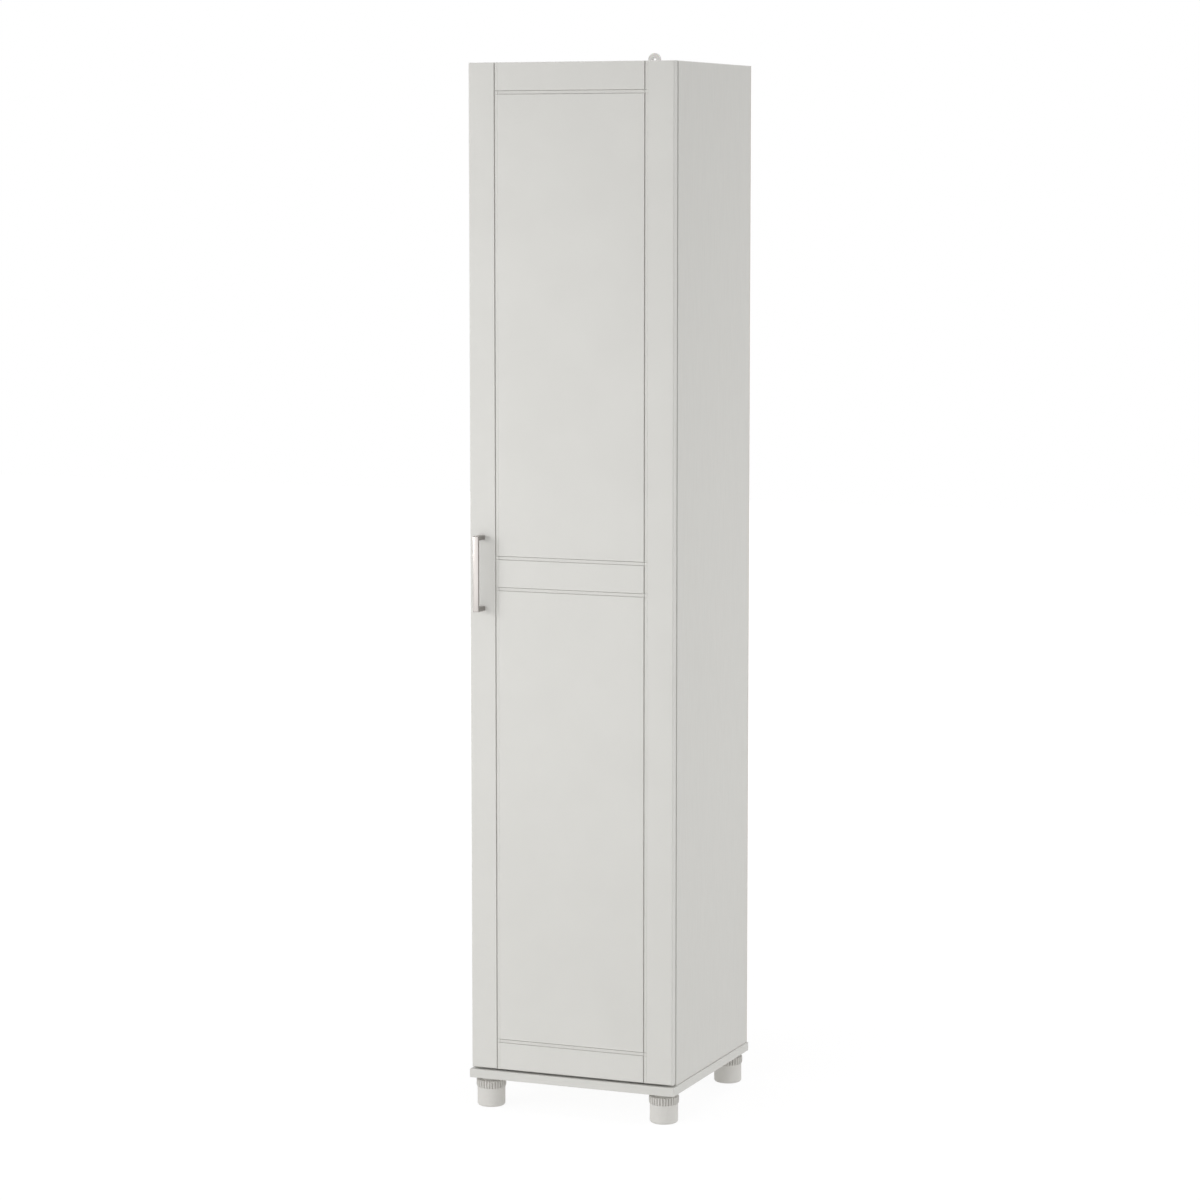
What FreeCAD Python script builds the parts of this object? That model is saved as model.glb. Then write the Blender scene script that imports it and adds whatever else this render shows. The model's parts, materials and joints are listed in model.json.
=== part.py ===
import FreeCAD, Part
import os
import Sketcher

# A tall single-door broom cupboard. Millimetres; +Z is up, the door faces -Y, and the origin is on
# the floor under the middle of the cupboard's bounding box.

SIZES = {
    # boards
    "board_thickness": 15.9,
    "cabinet_width": 394.0,
    "side_height": 1817.5,
    "side_depth": 367.5,
    "back_thickness": 2.7,
    "back_inset": 1.0,
    "base_side_lip": 2.3,
    "base_front_lip": 2.4,
    "edge_round": 0.5,
    # door
    "door_thickness": 15.9,
    "door_side_reveal": 1.2,
    "door_gap": 2.0,
    "door_bottom_gap": 3.5,
    "door_front_round": 3.0,
    "door_back_round": 1.5,
    "groove_inset": 52.8,
    "groove_mid_offset": 28.0,
    "groove_depth": 2.2,
    "groove_floor": 3.8,
    # handle
    "handle_reach": 30.0,
    "handle_length": 136.0,
    "handle_width": 11.0,
    "handle_bar": 5.0,
    "handle_post": 8.0,
    "handle_inset": 24.0,
    "handle_round": 0.8,
    "handle_screw_radius": 2.0,
    "handle_screw_bite": 9.0,
    "handle_screw_head_radius": 4.2,
    "handle_screw_head_height": 2.6,
    # shelves
    "top_compartment": 465.7,
    "shelf_side_clearance": 1.0,
    "shelf_set_back": 15.0,
    "pin_row_start": 96.0,
    "pin_pitch": 32.0,
    "pin_inset": 37.0,
    "pin_radius": 2.5,
    "pin_depth": 9.0,
    "pin_lug_length": 9.0,
    "pin_lug_width": 12.0,
    "pin_lug_thickness": 3.0,
    # cams, their dowels and the wood dowels
    "fastener_inset": 50.0,
    "cam_radius": 7.5,
    "cam_height": 12.0,
    "cam_inset": 34.0,
    "cam_slot": 8.0,
    "cam_dowel_radius": 3.4,
    "cam_dowel_bore": 4.0,
    "cam_dowel_thread_radius": 2.5,
    "cam_dowel_thread": 10.0,
    "cam_dowel_reach": 35.5,
    "dowel_radius": 4.0,
    "dowel_long_end": 20.0,
    "dowel_short_end": 10.0,
    # nails in the back panel
    "nail_radius": 0.8,
    "nail_head_radius": 2.2,
    "nail_head_height": 0.6,
    "nail_length": 16.0,
    "nail_end_distance": 60.0,
    # hinges
    "hinge_end_inset": 90.0,
    "hinge_shelf_gap": 137.0,
    "cup_radius": 17.5,
    "cup_depth": 12.6,
    "cup_inset": 20.0,
    "cup_wall": 0.8,
    "flange_thickness": 0.8,
    "flange_half_height": 28.5,
    "flange_half_width": 6.5,
    "flange_pivot_gap": 3.5,
    "flange_screw_offset": 9.5,
    "flange_screw_spacing": 45.0,
    "pivot_inset": 6.5,
    "pivot_depth": 9.0,
    "pivot_radius": 1.2,
    "pivot_half_length": 9.2,
    "pivot_clearance": 0.05,
    "ear_gap": 9.2,
    "ear_reach": 4.0,
    "ear_cover": 1.0,
    "eye_radius": 2.2,
    "arm_thickness": 2.5,
    "arm_neck": 8.0,
    "arm_width": 14.0,
    "arm_neck_end": 24.0,
    "arm_end": 62.0,
    "plate_thickness": 3.6,
    "plate_screw_inset": 37.0,
    "plate_screw_spacing": 32.0,
    "plate_half_height": 24.0,
    "plate_wing": 14.0,
    "plate_round": 3.5,
    "plate_margin": 1.0,
    "plate_front": 9.0,
    "clamp_screw_radius": 2.0,
    # wood screws
    "wood_screw_radius": 1.7,
    "wood_screw_length": 11.0,
    "wood_screw_head_radius": 3.6,
    "wood_screw_head_height": 1.8,
    "plate_screw_radius": 2.5,
    "plate_screw_length": 11.5,
    "recess_width": 1.1,
    "recess_depth": 1.0,
    # feet
    "foot_inset": 30.0,
    "foot_height": 53.6,
    "foot_gap": 1.0,
    "foot_radius": 25.5,
    "foot_wall": 3.0,
    "foot_top": 5.0,
    "foot_round": 4.5,
    "foot_boss_radius": 8.0,
    "collar_radius": 27.15,
    "collar_height": 16.5,
    "collar_taper": 5.0,
    "rib_gap": 2.1,
    "rib_height": 1.2,
    "stud_radius": 4.0,
    "stud_clearance": 0.06,
    "stud_length": 15.0,
    "stud_in_foot": 40.0,
    "stud_flange_radius": 9.0,
    "nut_radius": 5.5,
    "nut_depth": 15.0,
    "nut_flange_radius": 10.0,
    "nut_flange_thickness": 1.2,
    # wall bracket on the top
    "bracket_offset": 8.0,
    "bracket_width": 25.0,
    "bracket_hole_height": 13.5,
    "bracket_hole_radius": 2.5,
    "bracket_countersink": 2.5,
    "bracket_thickness": 4.0,
    "bracket_leg": 30.0,
    "bracket_leg_thickness": 3.0,
    "bracket_screw_spacing": 12.0,
    "bracket_screw_inset": 20.0,
    # bumpers between the door and the left side
    "bumper_radius": 4.0,
    "bumper_clearance": 0.1,
    "bumper_end_distance": 60.0,
}

PIN_HOLES = 8
PIN_HOLES_BELOW_SHELF = 4
RIBS = 40
SIDE_NAILS = 8
CROSS_NAILS = 3

# Share of a head that its recess spans, and how near two lengths count as equal
RECESS_SHARE = 0.6
TOLERANCE = 0.01

# Planes of the cupboard as expressions on the sheet
DOOR_FRONT = ("((sizes.handle_reach - sizes.door_thickness - sizes.door_gap"
              " - sizes.side_depth - sizes.back_thickness) / 2)")
DOOR_BACK = f"({DOOR_FRONT} + sizes.door_thickness)"
SIDE_FRONT = f"({DOOR_BACK} + sizes.door_gap)"
SIDE_BACK = f"({SIDE_FRONT} + sizes.side_depth)"
CABINET_BACK = f"({SIDE_BACK} + sizes.back_thickness)"
BASE_UNDER = "(sizes.foot_height + sizes.foot_gap)"
BASE_TOP = f"({BASE_UNDER} + sizes.board_thickness)"
DOOR_BOTTOM = f"({BASE_TOP} + sizes.door_bottom_gap)"
CABINET_TOP = f"({BASE_TOP} + sizes.side_height)"
TOP_UNDER = f"({CABINET_TOP} - sizes.board_thickness)"
SHELF_UNDER = f"({TOP_UNDER} - sizes.top_compartment - sizes.board_thickness)"
INNER_X = "(sizes.cabinet_width / 2 - sizes.board_thickness)"
HALF_BOARD = "(sizes.board_thickness / 2)"
MID_DEPTH = "(sizes.side_depth / 2)"
FAR_INSET = "(sizes.side_depth - sizes.fastener_inset)"
PIN_START = "(sizes.side_height - sizes.board_thickness - sizes.top_compartment + sizes.pin_row_start)"
SIDE_SHELF = ("(sizes.side_height - sizes.board_thickness - sizes.top_compartment"
              " - sizes.board_thickness / 2)")
SIDE_TOP = "(sizes.side_height - sizes.board_thickness / 2)"

DOOR_WIDTH = "(sizes.cabinet_width - 2 * sizes.door_side_reveal)"
DOOR_HEIGHT = "(sizes.side_height - sizes.door_bottom_gap)"
DOOR_MIDDLE = f"({DOOR_BOTTOM} + {DOOR_HEIGHT} / 2)"
GROOVE_HALF = "(sizes.groove_floor / 2 + sizes.groove_depth)"
HANDLE_X = f"(sizes.handle_inset - {DOOR_WIDTH} / 2)"
HANDLE_HOLE = "((sizes.handle_length - sizes.handle_post) / 2)"

CUP_X = f"({DOOR_WIDTH} / 2 - sizes.cup_inset)"
PIVOT_X = f"({DOOR_WIDTH} / 2 - sizes.pivot_inset)"
PIVOT_Y = f"({DOOR_BACK} - sizes.pivot_depth)"
ARM_X = f"({INNER_X} - sizes.plate_thickness - sizes.arm_thickness / 2)"
SHELF_PIN_Z = (f"({SHELF_UNDER} + sizes.board_thickness + sizes.pin_row_start"
               f" + {PIN_HOLES_BELOW_SHELF} * sizes.pin_pitch)")

FOOT_X = "(sizes.cabinet_width / 2 + sizes.base_side_lip - sizes.foot_inset)"
FOOT_FRONT = f"({DOOR_FRONT} - sizes.base_front_lip + sizes.foot_inset)"
FOOT_REAR = f"({CABINET_BACK} - sizes.foot_inset)"
FEET = {
    "front_left": (-1, FOOT_FRONT),
    "front_right": (1, FOOT_FRONT),
    "rear_left": (-1, FOOT_REAR),
    "rear_right": (1, FOOT_REAR),
}

UP = FreeCAD.Vector(0, 0, 1)

doc = FreeCAD.newDocument("broom_cupboard")
sheet = doc.addObject("Spreadsheet::Sheet", "sizes")
for row, (alias, size) in enumerate(SIZES.items(), 1):
    sheet.set(f"A{row}", alias)
    sheet.set(f"B{row}", str(size))
    sheet.setAlias(f"B{row}", alias)
doc.recompute()

parts = []


# Sketching and features

def number(expression):
    """Value of an expression on the sheet."""
    return float(sheet.evalExpression(str(expression)))


def origin_feature(body, role):
    return next(item for item in body.Origin.OriginFeatures if item.Role == role)


def place(item, x, y, z, direction=None):
    """Put an object at a point; its own +Z axis is turned to the direction."""
    if direction:
        turn = FreeCAD.Rotation(UP, FreeCAD.Vector(*direction))
        item.Placement = FreeCAD.Placement(FreeCAD.Vector(), turn)
    item.setExpression("Placement.Base.x", str(x))
    item.setExpression("Placement.Base.y", str(y))
    item.setExpression("Placement.Base.z", str(z))


def new_body(label, x="0", y="0", z="0"):
    body = doc.addObject("PartDesign::Body", label)
    body.Label = label
    place(body, x, y, z)
    return body


def new_part(label, x, y, z):
    """Body of a sub-part that gets a file of its own."""
    body = new_body(label, x, y, z)
    parts.append(body)
    return body


def new_sketch(body, name, role, offset="0"):
    """Sketch on a plane of the body's origin, moved along the plane's normal."""
    sketch = body.newObject("Sketcher::SketchObject", name)
    sketch.AttachmentSupport = [(origin_feature(body, role), "")]
    sketch.MapMode = "FlatFace"
    sketch.setExpression("AttachmentOffset.Base.z", offset)
    return sketch


def fix_point(sketch, geometry, point, x, y):
    """Tie one point of a sketch to a place given by two expressions."""
    for kind, expression in (("DistanceX", x), ("DistanceY", y)):
        value = number(expression)
        index = sketch.addConstraint(Sketcher.Constraint(kind, -1, 1, geometry, point, value))
        sketch.setExpression(f"Constraints[{index}]", str(expression))


def polygon(sketch, points):
    """Closed outline through points given as pairs of expressions."""
    first = sketch.GeometryCount
    count = len(points)
    corners = [FreeCAD.Vector(number(x), number(y), 0) for x, y in points]
    for index in range(count):
        line = Part.LineSegment(corners[index], corners[(index + 1) % count])
        sketch.addGeometry(line, False)
    for index in range(count):
        after = first + (index + 1) % count
        sketch.addConstraint(Sketcher.Constraint("Coincident", first + index, 2, after, 1))
    for index, (x, y) in enumerate(points):
        fix_point(sketch, first + index, 1, x, y)


def rectangle(sketch, x_low, y_low, x_high, y_high):
    polygon(sketch, [(x_low, y_low), (x_high, y_low), (x_high, y_high), (x_low, y_high)])


def circle(sketch, x, y, radius):
    centre = FreeCAD.Vector(number(x), number(y), 0)
    ring = sketch.addGeometry(Part.Circle(centre, UP, number(radius)), False)
    index = sketch.addConstraint(Sketcher.Constraint("Radius", ring, number(radius)))
    sketch.setExpression(f"Constraints[{index}]", str(radius))
    fix_point(sketch, ring, 3, x, y)


def pad(body, name, profile, length, reverse=False, both_ways=False):
    feature = body.newObject("PartDesign::Pad", name)
    feature.Profile = profile
    feature.setExpression("Length", length)
    feature.Reversed = reverse
    feature.Midplane = both_ways
    return feature


def pocket(body, name, profile, length=None, reverse=False, both_ways=False):
    """Cut of a stated length, or through everything where none is stated."""
    feature = body.newObject("PartDesign::Pocket", name)
    feature.Profile = profile
    if length is None:
        feature.Type = "ThroughAll"
    else:
        feature.setExpression("Length", length)
    feature.Reversed = reverse
    feature.Midplane = both_ways
    return feature


def revolve(body, name, profile):
    feature = body.newObject("PartDesign::Revolution", name)
    feature.Profile = profile
    feature.ReferenceAxis = (profile, ["V_Axis"])
    feature.Angle = 360
    return feature


def row_of(body, name, originals, role, length, count, reverse=False):
    feature = body.newObject("PartDesign::LinearPattern", name)
    feature.Originals = originals
    feature.Direction = (origin_feature(body, role), [""])
    feature.setExpression("Length", length)
    feature.Occurrences = count
    feature.Reversed = reverse
    body.Tip = feature
    return feature


def ring_of(body, name, originals, count):
    feature = body.newObject("PartDesign::PolarPattern", name)
    feature.Originals = originals
    feature.Axis = (origin_feature(body, "Z_Axis"), [""])
    feature.Angle = 360
    feature.Occurrences = count
    body.Tip = feature
    return feature


def mirror(body, name, originals, role):
    feature = body.newObject("PartDesign::Mirrored", name)
    feature.Originals = originals
    feature.MirrorPlane = (origin_feature(body, role), [""])
    body.Tip = feature
    return feature


def soften(body, name, base, radius, wanted, kind="Fillet"):
    """Round or chamfer the edges of a feature that the test picks by their bounding boxes."""
    doc.recompute()
    names = []
    for index, edge in enumerate(base.Shape.Edges, 1):
        if wanted(edge.BoundBox):
            names.append(f"Edge{index}")
    feature = body.newObject(f"PartDesign::{kind}", name)
    feature.Base = (base, names)
    feature.setExpression("Radius" if kind == "Fillet" else "Size", radius)
    return feature


def near(value, target):
    return abs(value - target) < TOLERANCE


def group(label, prototype, places):
    """Copies of one fastener, each a separate solid, joined in a single node."""
    copies = []
    for index, (x, y, z, direction) in enumerate(places, 1):
        copy = doc.addObject("App::Link", f"{label}_copy_{index}")
        copy.LinkedObject = prototype
        place(copy, x, y, z, direction)
        copies.append(copy)
    compound = doc.addObject("Part::Compound", label)
    compound.Label = label
    compound.Links = copies
    place(compound, "0", "0", "0")
    parts.append(compound)


# Carcass

def side_panel(label, side):
    """Side board, from its inner face outwards, with the holes of all that it carries."""
    body = new_part(label, f"{side} * {INNER_X}", SIDE_FRONT, BASE_TOP)
    outline = new_sketch(body, "board_outline", "XY_Plane")
    rectangle(outline, "0", "0", f"{side} * sizes.board_thickness", "sizes.side_depth")
    board = pad(body, "board", outline, "sizes.side_height")
    thickness = number("sizes.board_thickness")
    soften(body, "front_edges", board, "sizes.edge_round",
           lambda box: near(box.YMax, 0) and box.ZLength > thickness)

    into_board = side > 0
    pin_holes = new_sketch(body, "pin_holes", "YZ_Plane")
    circle(pin_holes, "sizes.pin_inset", PIN_START, "sizes.pin_radius")
    circle(pin_holes, "sizes.side_depth - sizes.pin_inset", PIN_START, "sizes.pin_radius")
    drilled = pocket(body, "pin_hole_pair", pin_holes, "sizes.pin_depth", into_board)
    row_of(body, "pin_hole_rows", [drilled], "Z_Axis", f"{PIN_HOLES - 1} * sizes.pin_pitch", PIN_HOLES)

    dowel_holes = new_sketch(body, "cam_dowel_holes", "YZ_Plane")
    wood_holes = new_sketch(body, "wood_dowel_holes", "YZ_Plane")
    for height in (SIDE_SHELF, SIDE_TOP):
        circle(wood_holes, MID_DEPTH, height, "sizes.dowel_radius")
        for depth in ("sizes.fastener_inset", FAR_INSET):
            circle(dowel_holes, depth, height, "sizes.cam_dowel_thread_radius")
    pocket(body, "cam_dowel_bores", dowel_holes, "sizes.cam_dowel_thread", into_board)
    pocket(body, "wood_dowel_bores", wood_holes, "sizes.dowel_short_end", into_board)

    cam_holes = new_sketch(body, "cam_holes", "YZ_Plane")
    for depth in ("sizes.fastener_inset", FAR_INSET):
        circle(cam_holes, depth, "sizes.cam_inset", "sizes.cam_radius")
    pocket(body, "cam_bores", cam_holes, "sizes.cam_height", into_board)

    foot_holes = new_sketch(body, "bottom_edge_holes", "XY_Plane")
    for depth in ("sizes.fastener_inset", FAR_INSET):
        circle(foot_holes, f"{side} * {HALF_BOARD}", depth, "sizes.cam_dowel_bore")
    pocket(body, "bottom_edge_bores", foot_holes, "sizes.cam_inset", True)
    peg_hole = new_sketch(body, "bottom_peg_hole", "XY_Plane")
    circle(peg_hole, f"{side} * {HALF_BOARD}", MID_DEPTH, "sizes.dowel_radius")
    pocket(body, "bottom_peg_bore", peg_hole, "sizes.dowel_long_end", True)

    nail_hole = new_sketch(body, "nail_hole", "XZ_Plane", "-sizes.side_depth")
    circle(nail_hole, f"{side} * {HALF_BOARD}", "sizes.nail_end_distance", "sizes.nail_radius")
    nailed = pocket(body, "nail_bore", nail_hole, "sizes.nail_length - sizes.back_thickness", True)
    last = row_of(body, "nail_bores", [nailed], "Z_Axis",
                  "sizes.side_height - 2 * sizes.nail_end_distance", SIDE_NAILS)

    if side > 0:
        plate_holes = new_sketch(body, "hinge_plate_holes", "YZ_Plane")
        for height in hinge_heights():
            for way in (-1, 1):
                above_base = f"{height} - {BASE_TOP} + {way} * sizes.plate_screw_spacing / 2"
                circle(plate_holes, "sizes.plate_screw_inset", above_base, "sizes.plate_screw_radius")
        last = pocket(body, "hinge_plate_bores", plate_holes, "sizes.plate_screw_length", into_board)
    body.Tip = last


def cross_panel(label, height):
    """Board between the sides: cam bores under each end, dowel bores in the ends, nails behind."""
    body = new_part(label, "0", SIDE_FRONT, height)
    outline = new_sketch(body, "board_outline", "XY_Plane")
    rectangle(outline, f"-{INNER_X}", "0", INNER_X, "sizes.side_depth")
    board = pad(body, "board", outline, "sizes.board_thickness")
    soften(body, "front_edges", board, "sizes.edge_round",
           lambda box: near(box.YMax, 0) and near(box.ZLength, 0))

    cam_holes = new_sketch(body, "cam_holes", "XY_Plane")
    end_holes = new_sketch(body, "end_holes", "YZ_Plane", INNER_X)
    for depth in ("sizes.fastener_inset", FAR_INSET):
        circle(cam_holes, f"{INNER_X} - sizes.cam_inset", depth, "sizes.cam_radius")
        circle(end_holes, depth, HALF_BOARD, "sizes.cam_dowel_bore")
    peg_hole = new_sketch(body, "peg_hole", "YZ_Plane", INNER_X)
    circle(peg_hole, MID_DEPTH, HALF_BOARD, "sizes.dowel_radius")
    cams = pocket(body, "cam_bores", cam_holes, "sizes.cam_height", True)
    ends = pocket(body, "end_bores", end_holes, "sizes.cam_inset")
    pegs = pocket(body, "peg_bore", peg_hole, "sizes.dowel_long_end")
    mirror(body, "both_ends", [cams, ends, pegs], "YZ_Plane")

    nail_hole = new_sketch(body, "nail_hole", "XZ_Plane", "-sizes.side_depth")
    circle(nail_hole, f"sizes.nail_end_distance - {INNER_X}", HALF_BOARD, "sizes.nail_radius")
    nailed = pocket(body, "nail_bore", nail_hole, "sizes.nail_length - sizes.back_thickness", True)
    row_of(body, "nail_bores", [nailed], "X_Axis",
           f"2 * {INNER_X} - 2 * sizes.nail_end_distance", CROSS_NAILS)
    return body


def top_panel():
    body = cross_panel("top_panel", TOP_UNDER)
    bracket_holes = new_sketch(body, "bracket_holes", "XY_Plane", "sizes.board_thickness")
    for x, y in bracket_screws():
        circle(bracket_holes, x, f"{y} - {SIDE_FRONT}", "sizes.wood_screw_radius")
    body.Tip = pocket(body, "bracket_bores", bracket_holes, "sizes.wood_screw_length")


def adjustable_shelf():
    """Loose board on four pins, clear of the sides and set back from their front edges."""
    body = new_part("adjustable_shelf", "0", f"{SIDE_FRONT} + sizes.shelf_set_back",
                    f"{SHELF_PIN_Z} + sizes.pin_lug_thickness / 2")
    outline = new_sketch(body, "board_outline", "XY_Plane")
    half_width = f"({INNER_X} - sizes.shelf_side_clearance)"
    depth = "sizes.side_depth - sizes.shelf_set_back - sizes.shelf_side_clearance"
    rectangle(outline, f"-{half_width}", "0", half_width, depth)
    board = pad(body, "board", outline, "sizes.board_thickness")
    soften(body, "front_edges", board, "sizes.edge_round",
           lambda box: near(box.YMax, 0) and near(box.ZLength, 0))


def base_board():
    """Bottom board that stands out past the sides and the door, over the feet."""
    body = new_part("base_board", "0", f"{DOOR_FRONT} - sizes.base_front_lip", BASE_UNDER)
    half_width = "(sizes.cabinet_width / 2 + sizes.base_side_lip)"
    depth = f"({CABINET_BACK} - {DOOR_FRONT} + sizes.base_front_lip)"
    side_front = f"({SIDE_FRONT} - {DOOR_FRONT} + sizes.base_front_lip)"
    outline = new_sketch(body, "board_outline", "XY_Plane")
    rectangle(outline, f"-{half_width}", "0", half_width, depth)
    board = pad(body, "board", outline, "sizes.board_thickness")
    soften(body, "edges", board, "sizes.edge_round", lambda box: box.ZLength < number(HALF_BOARD))

    nut_holes = new_sketch(body, "nut_holes", "XY_Plane")
    for side, y in FEET.values():
        circle(nut_holes, f"{side} * {FOOT_X}", f"{y} - {DOOR_FRONT} + sizes.base_front_lip",
               "sizes.nut_radius")
    pocket(body, "nut_bores", nut_holes, None, True)

    dowel_holes = new_sketch(body, "dowel_holes", "XY_Plane", "sizes.board_thickness")
    peg_holes = new_sketch(body, "peg_holes", "XY_Plane", "sizes.board_thickness")
    for side in (-1, 1):
        x = f"{side} * ({INNER_X} + {HALF_BOARD})"
        circle(peg_holes, x, f"{side_front} + {MID_DEPTH}", "sizes.dowel_radius")
        for inset in ("sizes.fastener_inset", FAR_INSET):
            circle(dowel_holes, x, f"{side_front} + {inset}", "sizes.cam_dowel_thread_radius")
    pocket(body, "dowel_bores", dowel_holes, "sizes.cam_dowel_thread")
    pocket(body, "peg_bores", peg_holes, "sizes.dowel_short_end")


def back_panel():
    """Thin board nailed behind the sides, with a countersunk hole for each nail."""
    body = new_part("back_panel", "0", SIDE_BACK, BASE_TOP)
    outline = new_sketch(body, "board_outline", "XY_Plane")
    half_width = "(sizes.cabinet_width / 2 - sizes.back_inset)"
    rectangle(outline, f"-{half_width}", "0", half_width, "sizes.back_thickness")
    pad(body, "board", outline, "sizes.side_height")
    holes = new_sketch(body, "nail_holes", "XZ_Plane")
    sinks = new_sketch(body, "nail_head_seats", "XZ_Plane", "-sizes.back_thickness")
    for x, y, z, direction in nail_places():
        circle(holes, x, f"{z} - {BASE_TOP}", "sizes.nail_radius")
        circle(sinks, x, f"{z} - {BASE_TOP}", "sizes.nail_head_radius")
    pocket(body, "nail_bores", holes)
    pocket(body, "nail_head_bores", sinks, "sizes.nail_head_height", True)


# Fasteners

def nail_places():
    """Nails up both sides, and across the top panel and the fixed shelf."""
    places = []
    step = f"((sizes.side_height - 2 * sizes.nail_end_distance) / {SIDE_NAILS - 1})"
    for side in (-1, 1):
        for index in range(SIDE_NAILS):
            z = f"{BASE_TOP} + sizes.nail_end_distance + {index} * {step}"
            places.append((f"{side} * ({INNER_X} + {HALF_BOARD})", CABINET_BACK, z, (0, -1, 0)))
    cross_step = f"((2 * {INNER_X} - 2 * sizes.nail_end_distance) / {CROSS_NAILS - 1})"
    for under in (TOP_UNDER, SHELF_UNDER):
        for index in range(CROSS_NAILS):
            x = f"sizes.nail_end_distance - {INNER_X} + {index} * {cross_step}"
            places.append((x, CABINET_BACK, f"{under} + {HALF_BOARD}", (0, -1, 0)))
    return places


def turned(name, points):
    """Prototype turned about its own Z axis from an outline in its XZ plane."""
    body = new_body(name)
    profile = new_sketch(body, f"{name}_profile", "XZ_Plane")
    polygon(profile, points)
    revolve(body, f"{name}_turned", profile)
    return body


def screw(name, radius, length, head_radius, head_height):
    """Screw along +Z with its head under z = 0 and a cross recess in the head."""
    body = turned(name, [
        ("0", f"-({head_height})"),
        (f"{head_radius} - {head_height} / 3", f"-({head_height})"),
        (head_radius, f"-({head_height}) * 2 / 3"),
        (head_radius, "0"),
        (radius, "0"),
        (radius, length),
        ("0", length),
    ])
    cross = new_sketch(body, f"{name}_cross", "XY_Plane", f"-({head_height})")
    arm = f"({head_radius}) * {RECESS_SHARE}"
    half = "sizes.recess_width / 2"
    polygon(cross, [
        (f"-{half}", f"-{arm}"), (half, f"-{arm}"), (half, f"-{half}"),
        (arm, f"-{half}"), (arm, half), (half, half),
        (half, arm), (f"-{half}", arm), (f"-{half}", half),
        (f"-({arm})", half), (f"-({arm})", f"-{half}"), (f"-{half}", f"-{half}"),
    ])
    pocket(body, f"{name}_recess", cross, "sizes.recess_depth", True)
    return body


def nails():
    """Nail along +Z with its flat head's outer face at z = 0."""
    prototype = turned("nail", [
        ("0", "0"),
        ("sizes.nail_head_radius", "0"),
        ("sizes.nail_head_radius", "sizes.nail_head_height"),
        ("sizes.nail_radius", "sizes.nail_head_height"),
        ("sizes.nail_radius", "sizes.nail_length"),
        ("0", "sizes.nail_length"),
    ])
    group("back_panel_nails", prototype, nail_places())


def cam_joints():
    """Each cam joint: the point between its boards, the dowel's way, the cam's face and its way."""
    joints = []
    for side in (-1, 1):
        board_middle = f"{side} * ({INNER_X} + {HALF_BOARD})"
        inner_face = f"{side} * {INNER_X}"
        cam_x = f"{side} * ({INNER_X} - sizes.cam_inset)"
        for inset in ("sizes.fastener_inset", FAR_INSET):
            y = f"{SIDE_FRONT} + {inset}"
            joints.append(((board_middle, y, BASE_TOP, (0, 0, 1)),
                           (inner_face, y, f"{BASE_TOP} + sizes.cam_inset", (side, 0, 0))))
            for under in (SHELF_UNDER, TOP_UNDER):
                joints.append(((inner_face, y, f"{under} + {HALF_BOARD}", (-side, 0, 0)),
                               (cam_x, y, under, (0, 0, 1))))
    return joints


def peg_places():
    """Wood dowels halfway between the cams of each joint."""
    places = []
    y = f"{SIDE_FRONT} + {MID_DEPTH}"
    for side in (-1, 1):
        places.append((f"{side} * ({INNER_X} + {HALF_BOARD})", y, BASE_TOP, (0, 0, 1)))
        for under in (SHELF_UNDER, TOP_UNDER):
            places.append((f"{side} * {INNER_X}", y, f"{under} + {HALF_BOARD}", (-side, 0, 0)))
    return places


def cam_locks():
    """Round cam along +Z from its open face, with a slot that takes the dowel's head."""
    prototype = new_body("cam")
    outline = new_sketch(prototype, "cam_outline", "XY_Plane")
    circle(outline, "0", "0", "sizes.cam_radius")
    pad(prototype, "cam_disc", outline, "sizes.cam_height")
    slot = new_sketch(prototype, "cam_slot", "YZ_Plane")
    rectangle(slot, "-sizes.cam_slot / 2", f"{HALF_BOARD} - sizes.cam_slot / 2",
              "sizes.cam_slot / 2", "sizes.cam_height")
    pocket(prototype, "cam_slot_cut", slot, "2 * sizes.cam_radius", False, True)
    driver = new_sketch(prototype, "driver_slot", "XY_Plane")
    rectangle(driver, f"-{RECESS_SHARE} * sizes.cam_radius", "-sizes.recess_width / 2",
              f"{RECESS_SHARE} * sizes.cam_radius", "sizes.recess_width / 2")
    pocket(prototype, "driver_slot_cut", driver, "sizes.recess_depth", True)
    group("cam_locks", prototype, [cam for dowel, cam in cam_joints()])


def cam_dowels():
    """Steel dowel: the thread below z = 0, the shank and the waisted head above it."""
    waist = "(sizes.cam_dowel_radius / 2)"
    head = "(sizes.cam_dowel_reach - sizes.cam_dowel_radius)"
    neck = "(sizes.cam_dowel_reach - 2 * sizes.cam_dowel_radius)"
    prototype = turned("cam_dowel", [
        ("0", "-sizes.cam_dowel_thread"),
        ("sizes.cam_dowel_thread_radius", "-sizes.cam_dowel_thread"),
        ("sizes.cam_dowel_thread_radius", "0"),
        ("sizes.cam_dowel_radius", "0"),
        ("sizes.cam_dowel_radius", neck),
        (waist, neck),
        (waist, head),
        ("sizes.cam_dowel_radius", head),
        ("sizes.cam_dowel_radius", "sizes.cam_dowel_reach"),
        ("0", "sizes.cam_dowel_reach"),
    ])
    group("cam_dowels", prototype, [dowel for dowel, cam in cam_joints()])


def wood_dowels():
    """Plain wooden dowel that crosses z = 0, its short end below."""
    prototype = turned("wood_dowel", [
        ("0", "-sizes.dowel_short_end"),
        ("sizes.dowel_radius", "-sizes.dowel_short_end"),
        ("sizes.dowel_radius", "sizes.dowel_long_end"),
        ("0", "sizes.dowel_long_end"),
    ])
    group("wood_dowels", prototype, peg_places())


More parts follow.
